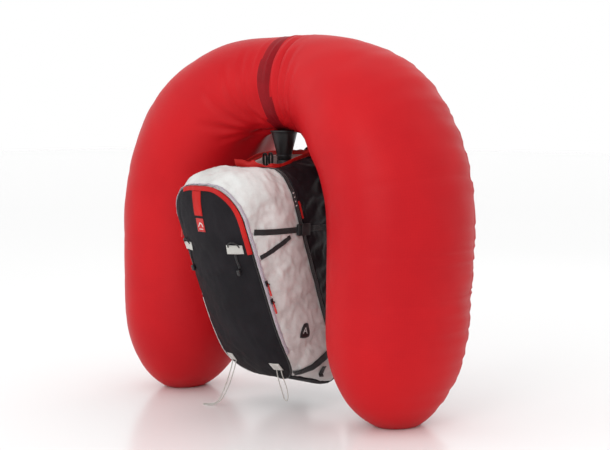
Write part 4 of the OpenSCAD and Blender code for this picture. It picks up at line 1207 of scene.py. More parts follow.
def airbag_puckers(s, w, points):
    """Short gathers square to each outer seam."""
    sign = np.where(w > math.pi, w - TAU, w)
    lobe = np.clip((np.abs(s) - 0.22) / 0.2, 0, 1)
    seam = np.radians(30.0)
    off = (sign - seam) * 170
    run = np.abs(s) * 560 + 3 * np.sin(np.abs(s) * 40)
    height = np.zeros(points.shape[:-1])
    for k, (pitch, reach, tall) in enumerate(
        [(17.0, 70.0, 0.75), (29.0, 120.0, 1.1), (47.0, 170.0, 1.3), (11.0, 36.0, 0.5)]
    ):
        cell = np.floor(run / pitch)
        jitter = (np.sin(cell * 12.9898 + 78.2 * k) * 43758.5453) % 1.0
        size = (np.sin(cell * 37.7 + 11.1 * k) * 24634.63) % 1.0
        place = (run / pitch - cell - 0.5 - 0.22 * (jitter - 0.5)) * pitch
        slope = (jitter - 0.5) * 0.12 * off
        width = pitch * 0.2
        valley = -np.exp(-(((place - slope * 0.2) / width) ** 2))
        length = reach * (0.45 + 0.9 * size)
        height += (
            tall * (0.3 + 0.9 * size) * valley * np.exp(-np.abs(off / length) ** 1.6)
            * np.clip(np.abs(off) / 5, 0, 1)
        )
    height -= 1.3 * np.exp(-((off / 3.0) ** 2))
    return height * lobe


AIRBAG_SIDES = 132
arc_s = np.linspace(0, END_FROM, 116)
end_s = END_FROM + np.sin(np.linspace(0, math.asin(FLOOR_SHARE), 26)[1:]) * END_L / BAG["lobe_z"]
half_s = np.r_[arc_s, end_s]
bag_s = np.r_[-half_s[:0:-1], half_s]
AIRBAG_ROWS = len(bag_s)
S, W = np.meshgrid(bag_s, np.linspace(0, TAU, AIRBAG_SIDES, endpoint=False), indexing="ij")
bag_points = airbag_points(S, W)
bag_creases = airbag_creases(W, bag_points)
bag_puckers = airbag_puckers(S, W, bag_points)
bag_shape = framed(bag_points)
bag_normals = grid_normals(bag_shape, True)
if ((bag_normals[AIRBAG_ROWS // 2, 0])[2]) < 0:
    bag_normals = -bag_normals
slow = 1.6 * lumps(bag_shape, 0.31, 41) + 0.7 * lumps(bag_shape, 0.12, 42)
lifted = np.clip(bag_points[..., 2] / 60, 0, 1)
under_neck = np.clip(-np.cos(W) * 1.4, 0, 1)
from_neck = np.hypot(bag_points[..., 0], bag_points[..., 1] + 35)
dip = 5.0 * under_neck * (1 - ease((from_neck - 42) / 34))
bag_height = bag_creases * 1.5 + bag_puckers * 2.2 + slow + dip
bag_shape = bag_shape + bag_normals * (bag_height * lifted * MM)[..., None]


def closed_tube(name, shape, material):
    """A tube of points with its two ends closed flat."""
    rows, sides = shape.shape[:2]
    ends = []
    for k in (0, -1):
        middle = shape[k].mean(0)
        ends.append([mix(shape[k], middle, share) for share in (0.35, 0.7)] + [middle])
    whole = np.concatenate([ends[0][1][None], ends[0][0][None], shape, ends[1][0][None], ends[1][1][None]])
    verts = np.concatenate([whole.reshape(-1, 3), ends[0][2][None], ends[1][2][None]])
    faces = [tuple(reversed(f)) for f in grid_faces(rows + 4, sides, loop_cols=True)]
    n = (rows + 4) * sides
    for j in range(sides):
        faces.append((n, j, (j + 1) % sides))
        faces.append((n + 1, (rows + 3) * sides + (j + 1) % sides, (rows + 3) * sides + j))
    uvs = np.vstack([cloth_uvs(whole), [[0, 0], [0, 0]]])
    obj = object_from(name, verts, faces, material, uvs)
    fix_normals(obj)
    return obj


airbag_cloth = closed_tube("airbag_cloth", bag_shape, "airbag")
# The seam between the lobes is covered by a darker band
airbag_cloth.data.materials.append(finish["airbag_dark"])
for face in airbag_cloth.data.polygons:
    if -20 * MM < face.center.x < 17 * MM and face.center.z > 0.6:
        face.material_index = 1
hand_over(airbag_cloth, "pack", "red_airbag_cloth", "airbag_left", "airbag_right", "airbag_centre_band")


# ---------- pieces sewn to the cloth ----------
def closed_faces(rows, cols):
    """Faces of two grids of points joined at their edges, and the edge's points in order."""
    n = rows * cols
    faces = grid_faces(rows, cols)
    under = [tuple(n + k for k in reversed(f)) for f in faces]
    border = (
        [k for k in range(cols)] + [r * cols + cols - 1 for r in range(1, rows)]
        + [
            (rows - 1) * cols + k for k in range(cols - 2, -1, -1)
        ] + [r * cols for r in range(rows - 2, 0, -1)]
    )
    return faces + under + [(a, b, n + b, n + a) for a, b in zip(border, border[1:] + border[:1])], border


def closed_patch(name, points, normals, thickness, material, body="pack", edge=0.35):
    """A sheet with rounded edges over a grid of laid points, in metres."""
    rows, cols = points.shape[:2]
    i = np.minimum(np.arange(rows), np.arange(rows)[::-1])
    j = np.minimum(np.arange(cols), np.arange(cols)[::-1])
    rim = np.minimum(i[:, None], j[None]) == 0
    top = points + normals * (np.where(rim, edge, 1.0) * thickness)[..., None]
    verts = np.concatenate([top.reshape(-1, 3), points.reshape(-1, 3)])
    faces, _ = closed_faces(rows, cols)
    flat = cloth_uvs(points)
    obj = object_from(name, verts, faces, material, np.vstack([flat, flat]))
    fix_normals(obj)
    if body:
        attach(obj, body)
    return obj


def patch_on(surface, place, normal, corners, rows, cols, lift, reach=0.03):
    """A laid grid between four corners, given as two coordinates on a wall of the pack."""
    a, b, c, d = [np.asarray(v, float) for v in corners]
    points, normals = np.zeros((rows, cols, 3)), np.zeros((rows, cols, 3))
    for i in range(rows):
        for j in range(cols):
            p = mix(mix(a, b, j / (cols - 1)), mix(d, c, j / (cols - 1)), i / (rows - 1))
            points[i, j], normals[i, j] = place(*p), normal(*p)
    laid = surface.lay(framed(points), normals, lift, reach)
    return smooth_grid(laid, 2), unit(normals)


def front_piece(name, x0, x1, z0, z1, thickness, material, rows=14, cols=14, lift=0.0006, body="pack"):
    points, normals = patch_on(
        front_surface, on_front, front_normal, [(x0, z0), (x1, z0), (x1, z1), (x0, z1)], rows, cols, lift
    )
    return closed_patch(name, points, normals, thickness, material, body)


def front_path(places, lift=0.0006, rounds=3):
    p = np.array([on_front(x, z) for x, z in places])
    n = np.array([front_normal(x, z) for x, z in places])
    laid = front_surface.lay(framed(p), n, lift, 0.03)
    return even(laid, n, rounds), n


def side_path(places, mirror=1, lift=0.0006, rounds=3):
    """A path of (y, z) points laid on a side of the pack."""
    p = np.array([on_side(y, z) for y, z in places]) * [mirror, 1, 1]
    n = np.array([side_normal(y, z) for y, z in places]) * [mirror, 1, 1]
    laid = side_surface.lay(framed(p), n, lift, 0.03)
    return even(laid, n, rounds), n


def line(a, b, steps=24):
    return [tuple(mix(np.asarray(a, float), np.asarray(b, float), k / steps)) for k in range(steps + 1)]


# Red crest strap and the label under it, with a plain mountain mark
crest_strap = [
    front_piece("crest_strap_cloth", -18, 10, 490, 548, 1.6 * MM, "red_trim", 24, 14),
    front_piece("crest_label", -16, 9, 452, 484, 1.4 * MM, "label", 16, 14),
]
for x in (-16.6, 8.6):
    path, normals = front_path(line((x, 491), (x, 547), 20))
    crest_strap.append(
        stitches("crest_strap_stitches", path, normals, 3.2 * MM, 2.2 * MM, 0.6 * MM, "red_thread", 1.6 * MM)
    )
mark_points = [(-10, 464), (-3.5, 475), (-0.5, 470.5), (1.5, 473), (5.5, 464)]
path, normals = front_path(
    [p for a, b in zip(mark_points, mark_points[1:]) for p in line(a, b, 4)[:-1]] + [mark_points[-1]]
)
crest_strap.append(
    strap("crest_label_mark", path, normals, 2.2 * MM, 0.5 * MM, "white_thread", lift=1.3 * MM)
)
path, normals = front_path(line((-9, 459), (4.5, 459), 6))
crest_strap.append(strap("crest_label_bar", path, normals, 1.8 * MM, 0.5 * MM, "white_thread", lift=1.3 * MM))
crest = joined("crest_strap_and_label", crest_strap)
hand_over(crest, "pack", "red_trim", "crest_strap")

# Flat red welt along the front panel's upper edge and down its right shoulder
main_front = main_section(0.0)


def outline(share, inset):
    """A point of the front panel's outline, moved in by a distance."""
    q = [
        main_front[0] - inset, main_front[1] + inset, main_front[2] - inset, main_front[3] - inset,
        main_front[4] - inset
    ]
    side = 1 if share >= 0 else -1
    x, z = girth_point(q, 1 - abs(share))
    return side * x, z


def outline_run(start, end, inset, steps):
    return [outline(share, inset) for share in np.linspace(start, end, steps)]


welt_path, welt_normals = front_path(outline_run(-0.085, 0.36, 5.5, 80), 0.0005, 2)
welt = strap("front_zip_welt_band", welt_path, welt_normals, 9.5 * MM, 1.5 * MM, "red_trim")
rim_path, _ = front_path(outline_run(-0.085, 0.36, 0.8, 80), 0.0008, 2)
rim = round_cord("front_zip_welt_rim", rim_path, 1.5 * MM, "red_trim", hint=(0.0, 1.0, 0.05))
welt_seam = stitches(
    "front_zip_welt_seam", welt_path, welt_normals, 3.0 * MM, 2.2 * MM, 0.5 * MM, "red_thread", 1.6 * MM
)
welt = joined("front_zip_welt_cloth", [welt, rim, welt_seam])
hand_over(welt, "pack", "red_trim", "front_zip_welt")

# White piping down the front panel's left edge, and black round the rest
piping_path, _ = front_path(outline_run(-0.9, -0.56, 0.6, 70), 0.0006, 2)
round_cord("front_piping_left", piping_path, 1.1 * MM, "white_thread", "pack", hint=(0.0, 1.0, 0.05))
edge_path, _ = front_path(outline_run(0.36, 0.95, 0.6, 90), 0.0004, 2)
round_cord("front_piping_right", edge_path, 1.6 * MM, "binding", "pack", hint=(0.0, 1.0, 0.05))


# Zip tape round the opening, with the coil on it
TAPE_SHARE, COIL_SHARE = 0.034, 0.034
TAPE_FROM = 1 - girth_share(main_front, 2.02)
TAPE_WIDTH, TAPE_T, TAPE_SEAM = 13 * MM, 0.9 * MM, 5.2


def round_the_pack(section, depth, low_share, surface, lift, steps=200, rounds=8):
    """A path laid over the top from low on one side to low on the other, with its normals."""
    points = []
    for share in np.linspace(-low_share, low_share, steps):
        x, z = girth_point(section, 1 - abs(share))
        points.append([x if share >= 0 else -x, depth(z), z])
    points = np.array(points)
    normals = unit(np.cross([0, 1.0, 0], tangents(points)))
    outward = np.sign(((points - [0, 0, 330]) * [1, 0, 1] * normals).sum(1, keepdims=True))
    normals = normals * outward
    return even(surface.lay(framed(points), normals, lift, 0.03), normals, rounds), normals


tape_line, tape_normals = round_the_pack(
    main_section(TAPE_SHARE), lambda z: float(main_y(TAPE_SHARE, z)), TAPE_FROM, grey_surface, 0.0004, 260, 6
)
tape = strap("main_zip_tape_cloth", tape_line, tape_normals, TAPE_WIDTH, TAPE_T, "tape")
tape_seams = []
for shift in (-TAPE_SEAM, TAPE_SEAM):
    moved = tape_line + unit(np.cross(tangents(tape_line), tape_normals)) * shift * MM
    tape_seams.append(
        stitches(
            "main_zip_tape_seam", moved, tape_normals, 3.4 * MM, 2.4 * MM, 0.5 * MM, "white_thread", TAPE_T
        )
    )
tape = joined("main_zip_tape_band", [tape] + tape_seams)
hand_over(tape, "pack", "zip_tape", "main_zip_tape")


def coil(name, middle, normals, lift, half_width, half_height, pitch, radius, material):
    """A zip's coil: two tight rows of turns along a line."""
    step = np.linalg.norm(np.diff(middle, axis=0), axis=1)
    run = np.concatenate([[0], np.cumsum(step)])
    per_turn = 7
    turns = int(run[-1] / pitch)
    at = np.linspace(0, run[-1], turns * per_turn)
    p = np.stack([np.interp(at, run, middle[:, k]) for k in range(3)], 1)
    n = unit(np.stack([np.interp(at, run, normals[:, k]) for k in range(3)], 1))
    b = unit(np.cross(tangents(p), n))
    angle = TAU * np.arange(len(p)) / per_turn
    turned = p + b * (np.cos(angle) * half_width)[:, None] + n * (
        lift + half_height + np.sin(angle) * half_height
    )[:, None]
    return loft(name, cord_rings(turned, radius, 5, hint=(0.12, 0.95, 0.3), ends=False), material)


tooth_row = coil(
    "main_zip_coil_turns", tape_line, tape_normals, 1.0 * MM, 1.9 * MM, 0.7 * MM, 2.6 * MM, 0.55 * MM, "coil"
)
coil_bed = strap("main_zip_coil_bed", tape_line, tape_normals, 3.4 * MM, 1.0 * MM, "coil", lift=0.9 * MM)
zip_coil = joined("main_zip_coil_rows", [tooth_row, coil_bed])
hand_over(zip_coil, "pack", "zip_coil", "main_zip_coil")

# Keepers for the ski axes: a grey tab, a black elastic loop and a toggle
for x in (-86, 74):
    side = "left" if x < 0 else "right"
    tab = front_piece("keeper_tab_" + side, x - 19.5, x + 19.5, 401, 421, 2.0 * MM, "tab", 12, 20)
    points, normals = front_path(
        line((x - 15, 419), (x - 15, 403), 6) + line((x + 15, 403), (x + 15, 419), 6)
    )
    arch_points = []
    for k in np.linspace(0, 1, 26):
        a = math.pi * k
        arch_x, arch_z = x - 13 * math.cos(a), 418 + 12 * math.sin(a)
        arch_points.append(framed(on_front(arch_x, arch_z, 2.5 + 3.5 * math.sin(a))))
    elastic = round_cord(
        "keeper_elastic_" + side, np.array(arch_points), 1.6 * MM, "webbing", hint=(0, 1, 0.2)
    )
    path, normals = front_path(line((x, 399), (x, 366), 16), 0.001)
    tail = strap("keeper_tail_" + side, path, normals, 5.5 * MM, 1.6 * MM, "webbing")
    toggle = placed(
        block("keeper_toggle_" + side, (9 * MM, 9 * MM, 15 * MM), 3.2 * MM, "plastic", 4),
        Matrix.Translation(
            framed(on_front(x, 356) + np.array([0, -6.5, 0]))
        ) @ Matrix.Rotation(math.radians(22), 4, "X"),
    )
    seams = []
    for dz in (403, 419):
        path, normals = front_path(line((x - 17.5, dz), (x + 17.5, dz), 12))
        seams.append(
            stitches("keeper_seam", path, normals, 3 * MM, 2 * MM, 0.6 * MM, "white_thread", 2.0 * MM)
        )
    keeper = joined("axe_keeper_" + side, [tab, elastic, tail, toggle] + seams)
    hand_over(keeper, "pack", "light_grey_cloth", "axe_keepers")

# Webbing tabs of the axe loops, with bartacks
for side, x0, x1, z0 in (("right", 56, 82, 108), ("left", -86, -60, 118)):
    tab = front_piece("loop_tab_" + side + "_webbing", x0, x1, z0, z0 + 18, 1.8 * MM, "tab", 12, 16)
    tacks = []
    for x in (x0 + 4, x1 - 4):
        path, normals = front_path(line((x, z0 + 2), (x, z0 + 16), 8))
        tacks.append(
            strap("loop_tab_bartack", path, normals, 2.2 * MM, 0.7 * MM, "white_thread", lift=1.5 * MM)
        )
    tab = joined("loop_tab_" + side, [tab] + tacks)
    hand_over(tab, "pack", "light_grey_cloth", "loop_tabs")


# ---------- side straps and buckles ----------
WEB_W, WEB_T = 20 * MM, 1.8 * MM
BUCKLE = np.array([136.2, -124.0, 452.0])


def side_strap(name, a, b, mirror, width=14 * MM):
    path, normals = side_path(line(a, b, 30), mirror, 0.0008, 6)
    return strap(name, path, normals, width, WEB_T, "webbing")


for mirror, side in ((1, "right"), (-1, "left")):
    parts_of_strap = [
        side_strap("side_strap_upper", (-262, 452), (-133, 452), mirror),
        side_strap("side_strap_lower", (-239.5, 391), (-157, 437), mirror, 12 * MM),
        side_strap("side_strap_rear", (-103, 452), (28, 452), mirror),
    ]
    for y, z in ((-258, 452), (-235, 393.5), (24, 452)):
        path, normals = side_path(line((y, z - 5), (y, z + 5), 6), mirror)
        parts_of_strap.append(
            strap("side_strap_bartack", path, normals, 2.2 * MM, 0.8 * MM, "black_thread", lift=WEB_T)
        )
    v_strap = joined("side_strap_" + side, parts_of_strap)
    hand_over(v_strap, "pack", "black_webbing", "side_straps")


def buckle_body(name, socket):
    """Half of a side-release buckle from X = 0 to 8 mm, about Z = 0; the plug enters from -Y."""
    shapes = []

    def box(x0, x1, y0, y1, z0, z1, radius=0.9, material="plastic"):
        b = block(name + "_part", ((x1 - x0) * MM, (y1 - y0) * MM, (z1 - z0) * MM), radius * MM, material, 3)
        shapes.append(
            placed(b, Matrix.Translation(Vector(((x0 + x1) / 2, (y0 + y1) / 2, (z0 + z1) / 2)) * MM))
        )

    if socket:
        # Two faces, the ribs between the side windows and the webbing bar
        box(0, 1.6, 0, 26, -14, 14)
        box(6.4, 8, 0, 26, -14, 14)
        for z in (-14, 12):
            box(0.4, 7.6, 0, 8, z, z + 2)
            box(0.4, 7.6, 16, 26, z, z + 2)
        box(0.6, 7.4, 19.2, 21, -13, 13, 0.6)
        box(0.6, 7.4, 23.8, 26, -13, 13, 0.8)
        for k in range(4):
            box(7.7, 8.5, 3 + 3.2 * k, 4.3 + 3.2 * k, -8 + k, 8 - k, 0.35)
    else:
        box(0, 8, -3.6, -0.4, -14, 14, 1.0)
        box(0, 8, -15, -12.2, -14, 14, 1.0)
        box(0.8, 7.2, -9.4, -7.2, -12, 12, 0.8)
        for z in (-14, 11.2):
            box(0, 8, -13, -1.5, z, z + 2.8, 0.9)
        for z in (-11.6, -2, 7.6):
            box(2.0, 6.0, -1, 13, z, z + 4, 1.0)
        for z in (-13.4, 9.8):
            box(2.2, 5.8, 8.8, 12.8, z, z + 3.6, 1.0)
    return joined(name, shapes)


def buckle_half(name, socket, matrix, body, node):
    half = placed(buckle_body(name, socket), matrix)
    hand_over(half, body, "black_plastic", node)
    return half


def mirror_x():
    return Matrix.Scale(-1, 4, Vector((1, 0, 0)))


for mirror, side in ((1, "right"), (-1, "left")):
    at = Matrix.Translation(framed(BUCKLE))
    if mirror < 0:
        at = mirror_x() @ at
    buckle_half("side_buckle_socket_" + side, True, at, "pack", "side_buckle_sockets")
    buckle_half("side_buckle_plug_half_" + side, False, at, "side_plug_" + side, "side_buckle_plug_" + side)

# Lower straps with their free tails and a bartack each
for mirror, side in ((1, "right"), (-1, "left")):
    low = side_strap("lower_strap_band", (-103, 97), (-20, 143), mirror, 19 * MM)
    path, normals = side_path(line((-38, 112), (-37, 92), 10), mirror, 0.0026, 3)
    path = np.vstack([path, path[-1] + (normals[-1] * 5 * MM + np.array([0, 0, -4 * MM])) * [1, 1, 1]])
    tail = strap("lower_strap_tail", path, np.vstack([normals, normals[-1:]]), 13 * MM, WEB_T, "webbing")
    path, normals = side_path(line((-98, 93), (-92, 105), 6), mirror, 0.0025)
    tack = strap("lower_strap_bartack", path, normals, 2.4 * MM, 0.8 * MM, "black_thread")
    low = joined("lower_strap_" + side, [low, tail, tack])
    hand_over(low, "pack", "black_webbing", "lower_straps")

# Rounded badge low on the right side, with a plain light mark
rows, cols = 14, 14
grid, ways = np.zeros((rows, cols, 3)), np.zeros((rows, cols, 3))
for i, v in enumerate(np.linspace(0, 1, rows)):
    for j, h in enumerate(np.linspace(-1, 1, cols)):
        bow = math.sin(math.pi * min(max(v, 0.0), 1.0))
        half = mix(13.5, 8.5, v) + 2.2 * bow
        y, z = -103 + h * half + 0.6 * v, 190 + 32 * v + 3.0 * (1 - abs(h) ** 2.5) * (2 * v - 1)
        grid[i, j], ways[i, j] = on_side(y, z), side_normal(y, z)
laid = smooth_grid(grey_surface.lay(framed(grid), ways, 0.0006, 0.03), 2)
badge = closed_patch("side_badge_moulding", laid, ways, 1.8 * MM, "plastic", None)
mark = []
for a, b in (((-108, 199), (-103.5, 214)), ((-103.5, 214), (-98, 199)), ((-105.5, 205), (-100.5, 205))):
    path, normals = side_path(line(a, b, 6), 1, 0.0006)
    mark.append(strap("side_badge_mark", path, normals, 1.8 * MM, 0.5 * MM, "badge_mark", lift=1.9 * MM))
badge = joined("side_badge_whole", [badge] + mark)
hand_over(badge, "pack", "black_plastic", "side_badge")

# A red puller on a black cord hangs at the pack's upper left
hang = np.array(
    [[-112, -262, 486], [-116, -264, 478], [-119, -265, 468], [-121, -266, 458], [-122, -267, 450]], float
)
left_cord = round_cord("left_puller_cord", framed(spline(hang, 24)), 1.1 * MM, "webbing", hint=(1, 0, 0.1))
left_end = round_cord(
    "left_puller_end", framed(spline([[-122, -267, 452], [-123, -267.5, 442], [-124, -268, 430]], 16)),
    2.4 * MM, "red_plastic",
    hint=(1, 0, 0.1),
)
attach(joined("left_puller", [left_cord, left_end]), "pack")

# Black binding between the grey cloth and the airbag bay, with white bartacks and a red tab
path, normals = round_the_pack(
    main_section(1), lambda z: float(divider_y(z)) - 6.0, 0.80, side_surface, 0.0008
)
strap("bay_binding", path, normals, 12 * MM, 1.8 * MM, "binding", "pack")
for mirror, side in ((1, "right"), (-1, "left")):
    tacks = []
    for z in (540, 530, 520, 510):
        y = float(divider_y(z)) - 6.0
        path, normals = side_path(line((y - 2.2, z - 1), (y + 2.2, z + 1), 4), mirror, 0.0008)
        tacks.append(
            strap("binding_bartack", path, normals, 2.6 * MM, 0.9 * MM, "white_thread", lift=1.6 * MM)
        )
    tacks = joined("binding_bartacks_" + side, tacks)
    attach(tacks, "pack")
places = [(float(divider_y(z)) + 6.5, z) for z in np.linspace(478, 520, 20)]
path, normals = side_path(places, 1, 0.0012, 4)
strap("bay_red_tab", path, normals, 6 * MM, 1.6 * MM, "red_trim", "pack")


# ---------- zip sliders and pullers ----------
SLIDER_X, SLIDER_RISE = 112.196, 4.6


def slider_place(z):
    return Matrix.Translation(framed([SLIDER_X, float(main_y(COIL_SHARE, z)), z])) @ Matrix.Rotation(
        math.atan(EDGE_SLOPE * FRONT_REACH), 4, "X"
    ) @ Matrix.Translation(Vector((SLIDER_RISE * MM, 0, 0)))


def part_box(name, low, high, radius, material):
    size = [(h - l) * MM for l, h in zip(low, high)]
    b = block(name, size, radius * MM, material, 3)
    return placed(b, Matrix.Translation(Vector([(l + h) / 2 * MM for l, h in zip(low, high)])))


for z, which in ((330, "upper"), (286, "lower")):
    body = joined("zip_slider_body", [
        part_box("slider_plate", (0, -4.5, -6.5), (1.8, 4.5, 6.5), 0.8, "slider_metal"),
        part_box("slider_nose", (0.2, -2.2, 1.0), (3.0, 2.2, 6.0), 0.9, "slider_metal"),
        part_box("slider_ear", (1.5, -4.5, -6.5), (6.1, -3.3, -2.0), 0.5, "slider_metal"),
        part_box("slider_ear", (1.5, 3.3, -6.5), (6.1, 4.5, -2.0), 0.5, "slider_metal"),
    ])
    pin = round_cord(
        "slider_pin", np.array(
            [[4.2, y, -4.3] for y in np.linspace(-4.3, 4.3, 6)]
        ) * MM, 1.15 * MM, "slider_metal", hint=(0, 0, 1)
    )
    slider = placed(joined("zip_slider_" + which + "_body", [body, pin]), slider_place(z))
    hand_over(slider, which + "_slider", "zip_metal", "zip_slider_" + which)
    # A knotted red cord, with a moulded end
    run = np.array(
        [[4.2, 0.0, -4.3 - 1.8], [4.2, 0.0, -10], [4.4, 0.3, -16], [4.2, -0.2, -22], [4.2, 0.0, -27]]
    )
    strands = [
        round_cord(
            "puller_cord", spline(run + [0, s * 1.0, 0], 24) * MM, 1.05 * MM, "red_trim", hint=(1, 0, 0.1)
        )
        for s in (-1, 1)
    ]
    ring = []
    for a in np.linspace(0, TAU, 25)[:-1]:
        ring.append([4.2 + 1.75 * math.cos(a), 0.0, -4.3 + 1.75 * math.sin(a)])
    eye = loft("puller_eye", np.array([
        [np.array(p) * MM
         + (
             np.array([math.cos(a), 0, math.sin(a)]) * math.cos(b) + np.array([0, 1.6, 0]) * math.sin(b)
         ) * 0.5 * MM
         for b in np.linspace(0, TAU, 9)[:-1]]
        for p, a in zip(ring + ring[:1], np.r_[np.linspace(0, TAU, 25)[:-1], 0])]), "red_trim", capped=False)
    end = part_box("puller_end", (2.4, -2.4, -33.3), (6.0, 2.4, -19.5), 1.4, "red_plastic")
    knot = part_box("puller_knot", (2.6, -2.3, -13.5), (5.9, 2.3, -9.5), 1.5, "red_trim")
    puller = placed(joined("zip_puller_" + which + "_cord", strands + [eye, end, knot]), slider_place(z))
    hand_over(puller, which + "_puller", "red_plastic", "zip_puller_" + which)


# ---------- airbag mouth and neck ----------
NECK_Y = -35.0
neck_profile = [
    (17.2, 613), (18, 614), (18.2, 622), (19, 627), (22, 641), (25, 653), (28.4, 666), (31.2, 677),
    (33.0, 682.4), (34.4, 684.2),
    (34.6, 685.6), (33.8, 686.2), (32.4, 684.6), (31.2, 681), (28.8, 672), (25.4, 659), (21.6, 644),
    (17.4, 629), (16.5, 620),
    (16.5, 613),
]
neck_rings = []
for r, z in neck_profile:
    ring = []
    for a in np.linspace(0, TAU, 72, endpoint=False):
        gather = 0.5 * math.sin(
            9 * a + 0.4 * math.sin(3 * a)
        ) * math.sin(math.pi * np.clip((z - 622) / 58, 0, 1))
        ring.append([(r + gather) * math.cos(a), NECK_Y + (r + gather) * math.sin(a), z])
    neck_rings.append(ring)
neck = loft("neck_funnel", framed(neck_rings), "neck", capped=False)
collar = []
for z, r in ((624, 19.4), (683, 34.2)):
    ring = np.array([[r * math.cos(a), NECK_Y + r * math.sin(a), z] for a in np.linspace(0, TAU, 73)])
    collar.append(
        loft("neck_collar", cord_rings(framed(ring), 1.3 * MM, 8, hint=(0, 0, 1), ends=False), "plastic")
    )
neck = joined("inflation_neck_cloth", [neck] + collar)
hand_over(neck, "pack", "charcoal_cloth", "inflation_neck")

# The bay's two lips stand open round the neck, red outside and pale inside
mouth_path = []
q0, q1 = bay_section(0), bay_section(1)
LIP_Z = 1.0


def lip_front(x, q, y):
    return [x * (q[0] - q[4] - 3), float(y), q[2] + LIP_Z]


def lip_side(k, side):
    q = bay_section(k)
    return [side * (q[0] - q[4] - 3), float(bay_y(k, q[2])), q[2] + LIP_Z]


lip_run = np.linspace(0, 1, 22)[1:-1]
mouth_path += [lip_front(x, q0, bay_y(0, q0[2])) for x in np.linspace(-1, 1, 40)]
mouth_path += [lip_side(k, 1) for k in lip_run]
mouth_path += [lip_front(x, q1, BACK_Y - 3.0) for x in np.linspace(1, -1, 40)]
mouth_path += [lip_side(k, -1) for k in np.linspace(1, 0, 22)[1:-1]]
mouth_path = np.array(mouth_path, float)
for _ in range(6):
    mouth_path = (np.roll(mouth_path, 1, 0) + 2 * mouth_path + np.roll(mouth_path, -1, 0)) / 4
centre = mouth_path.mean(0)
way = unit((mouth_path - centre) * [1, 1, 0])
n_mouth = len(mouth_path)
turn_round = np.linspace(0, TAU, n_mouth, endpoint=False)
stand = (
    11 + 5.5 * np.sin(2 * turn_round + 0.7) + 2.5 * np.sin(7 * turn_round) + 1.6 * np.sin(13 * turn_round + 1)
)
lean = 0.15 + 0.22 * np.sin(5 * turn_round + 0.4)
lip_rows = []
for v in np.linspace(0, 1, 9):
    lift_v = stand * v
    lip_rows.append(
        mouth_path + way * (
            lean * lift_v + 1.2 * np.sin(math.pi * v)
        )[:, None] + np.array([0, 0, 1]) * (lift_v - 1.5)[:, None]
    )
lip_shape = framed(lip_rows)
lip = sheet_object("mouth_lip", lip_shape, "red_trim", 0.0012, True)
cords = []
for row, radius, material in ((0, 1.9 * MM, "red_trim"), (-1, 1.2 * MM, "red_trim")):
    ring = np.vstack([lip_shape[row], lip_shape[row][:1]])
    cords.append(loft("mouth_cord", cord_rings(ring, radius, 8, hint=(0, 0, 1), ends=False), material))
mouth = joined("bay_mouth_lips", [lip] + cords)
hand_over(mouth, "pack", "red_trim", "bay_mouth_piping")
lining_rows = []
for v in np.linspace(0, 1, 8):
    lining_rows.append(
        mouth_path - way * (
            3 + 5 * v + 1.6 * np.sin(9 * turn_round + 2 * v)
        )[:, None] - np.array([0, 0, 1]) * (2 + 44 * v)
    )
lining = sheet_object("bay_lining", framed(lining_rows), "pale_lining", 0.0008, True)
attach(lining, "pack")

# Two small loops stand at the front of the mouth
for k, (x, z) in enumerate(((-16, 606), (3, 607))):
    points = np.array([[x - 3.5, -86, z - 8], [x - 4.0, -88, z + 6], [x - 2.5, -89, z + 20],
                       [x + 1.5, -89, z + 24], [x + 4.5, -88, z + 18],
                       [x + 4.2, -87, z + 5], [x + 3.5, -86, z - 8]])
    route = framed(spline(points, 36))
    strap(
        "crest_pull_loop_" + "ab"[k], route, np.cross(tangents(route), [0, 1.0, 0]), 8 * MM, 1.6 * MM,
        "webbing", "pack"
    )

# Divider between the two compartments
divider_grid = []
q = main_section(1)
for v in np.linspace(0, 1, 40):
    z = mix(q[1] + 1, q[2] - 1, (1 - math.cos(math.pi * v)) / 2)
    w = float(half_width([q[0] - 1, q[1], q[2], q[3], q[4]], z))
    divider_grid.append([[a * w, float(divider_y(z)) + 0.5, z] for a in np.linspace(-1, 1, 30)])
divider_grid = np.array(divider_grid)
divider_grid[..., 1] += (1 - edge_weights(40, 30, 1, 4)) * 1.2 * lumps(divider_grid, 60.0, 9)
divider = sheet_object("divider_cloth", framed(divider_grid), "black", 0.0015)
hand_over(divider, "pack", "charcoal_cloth", "divider_panel")


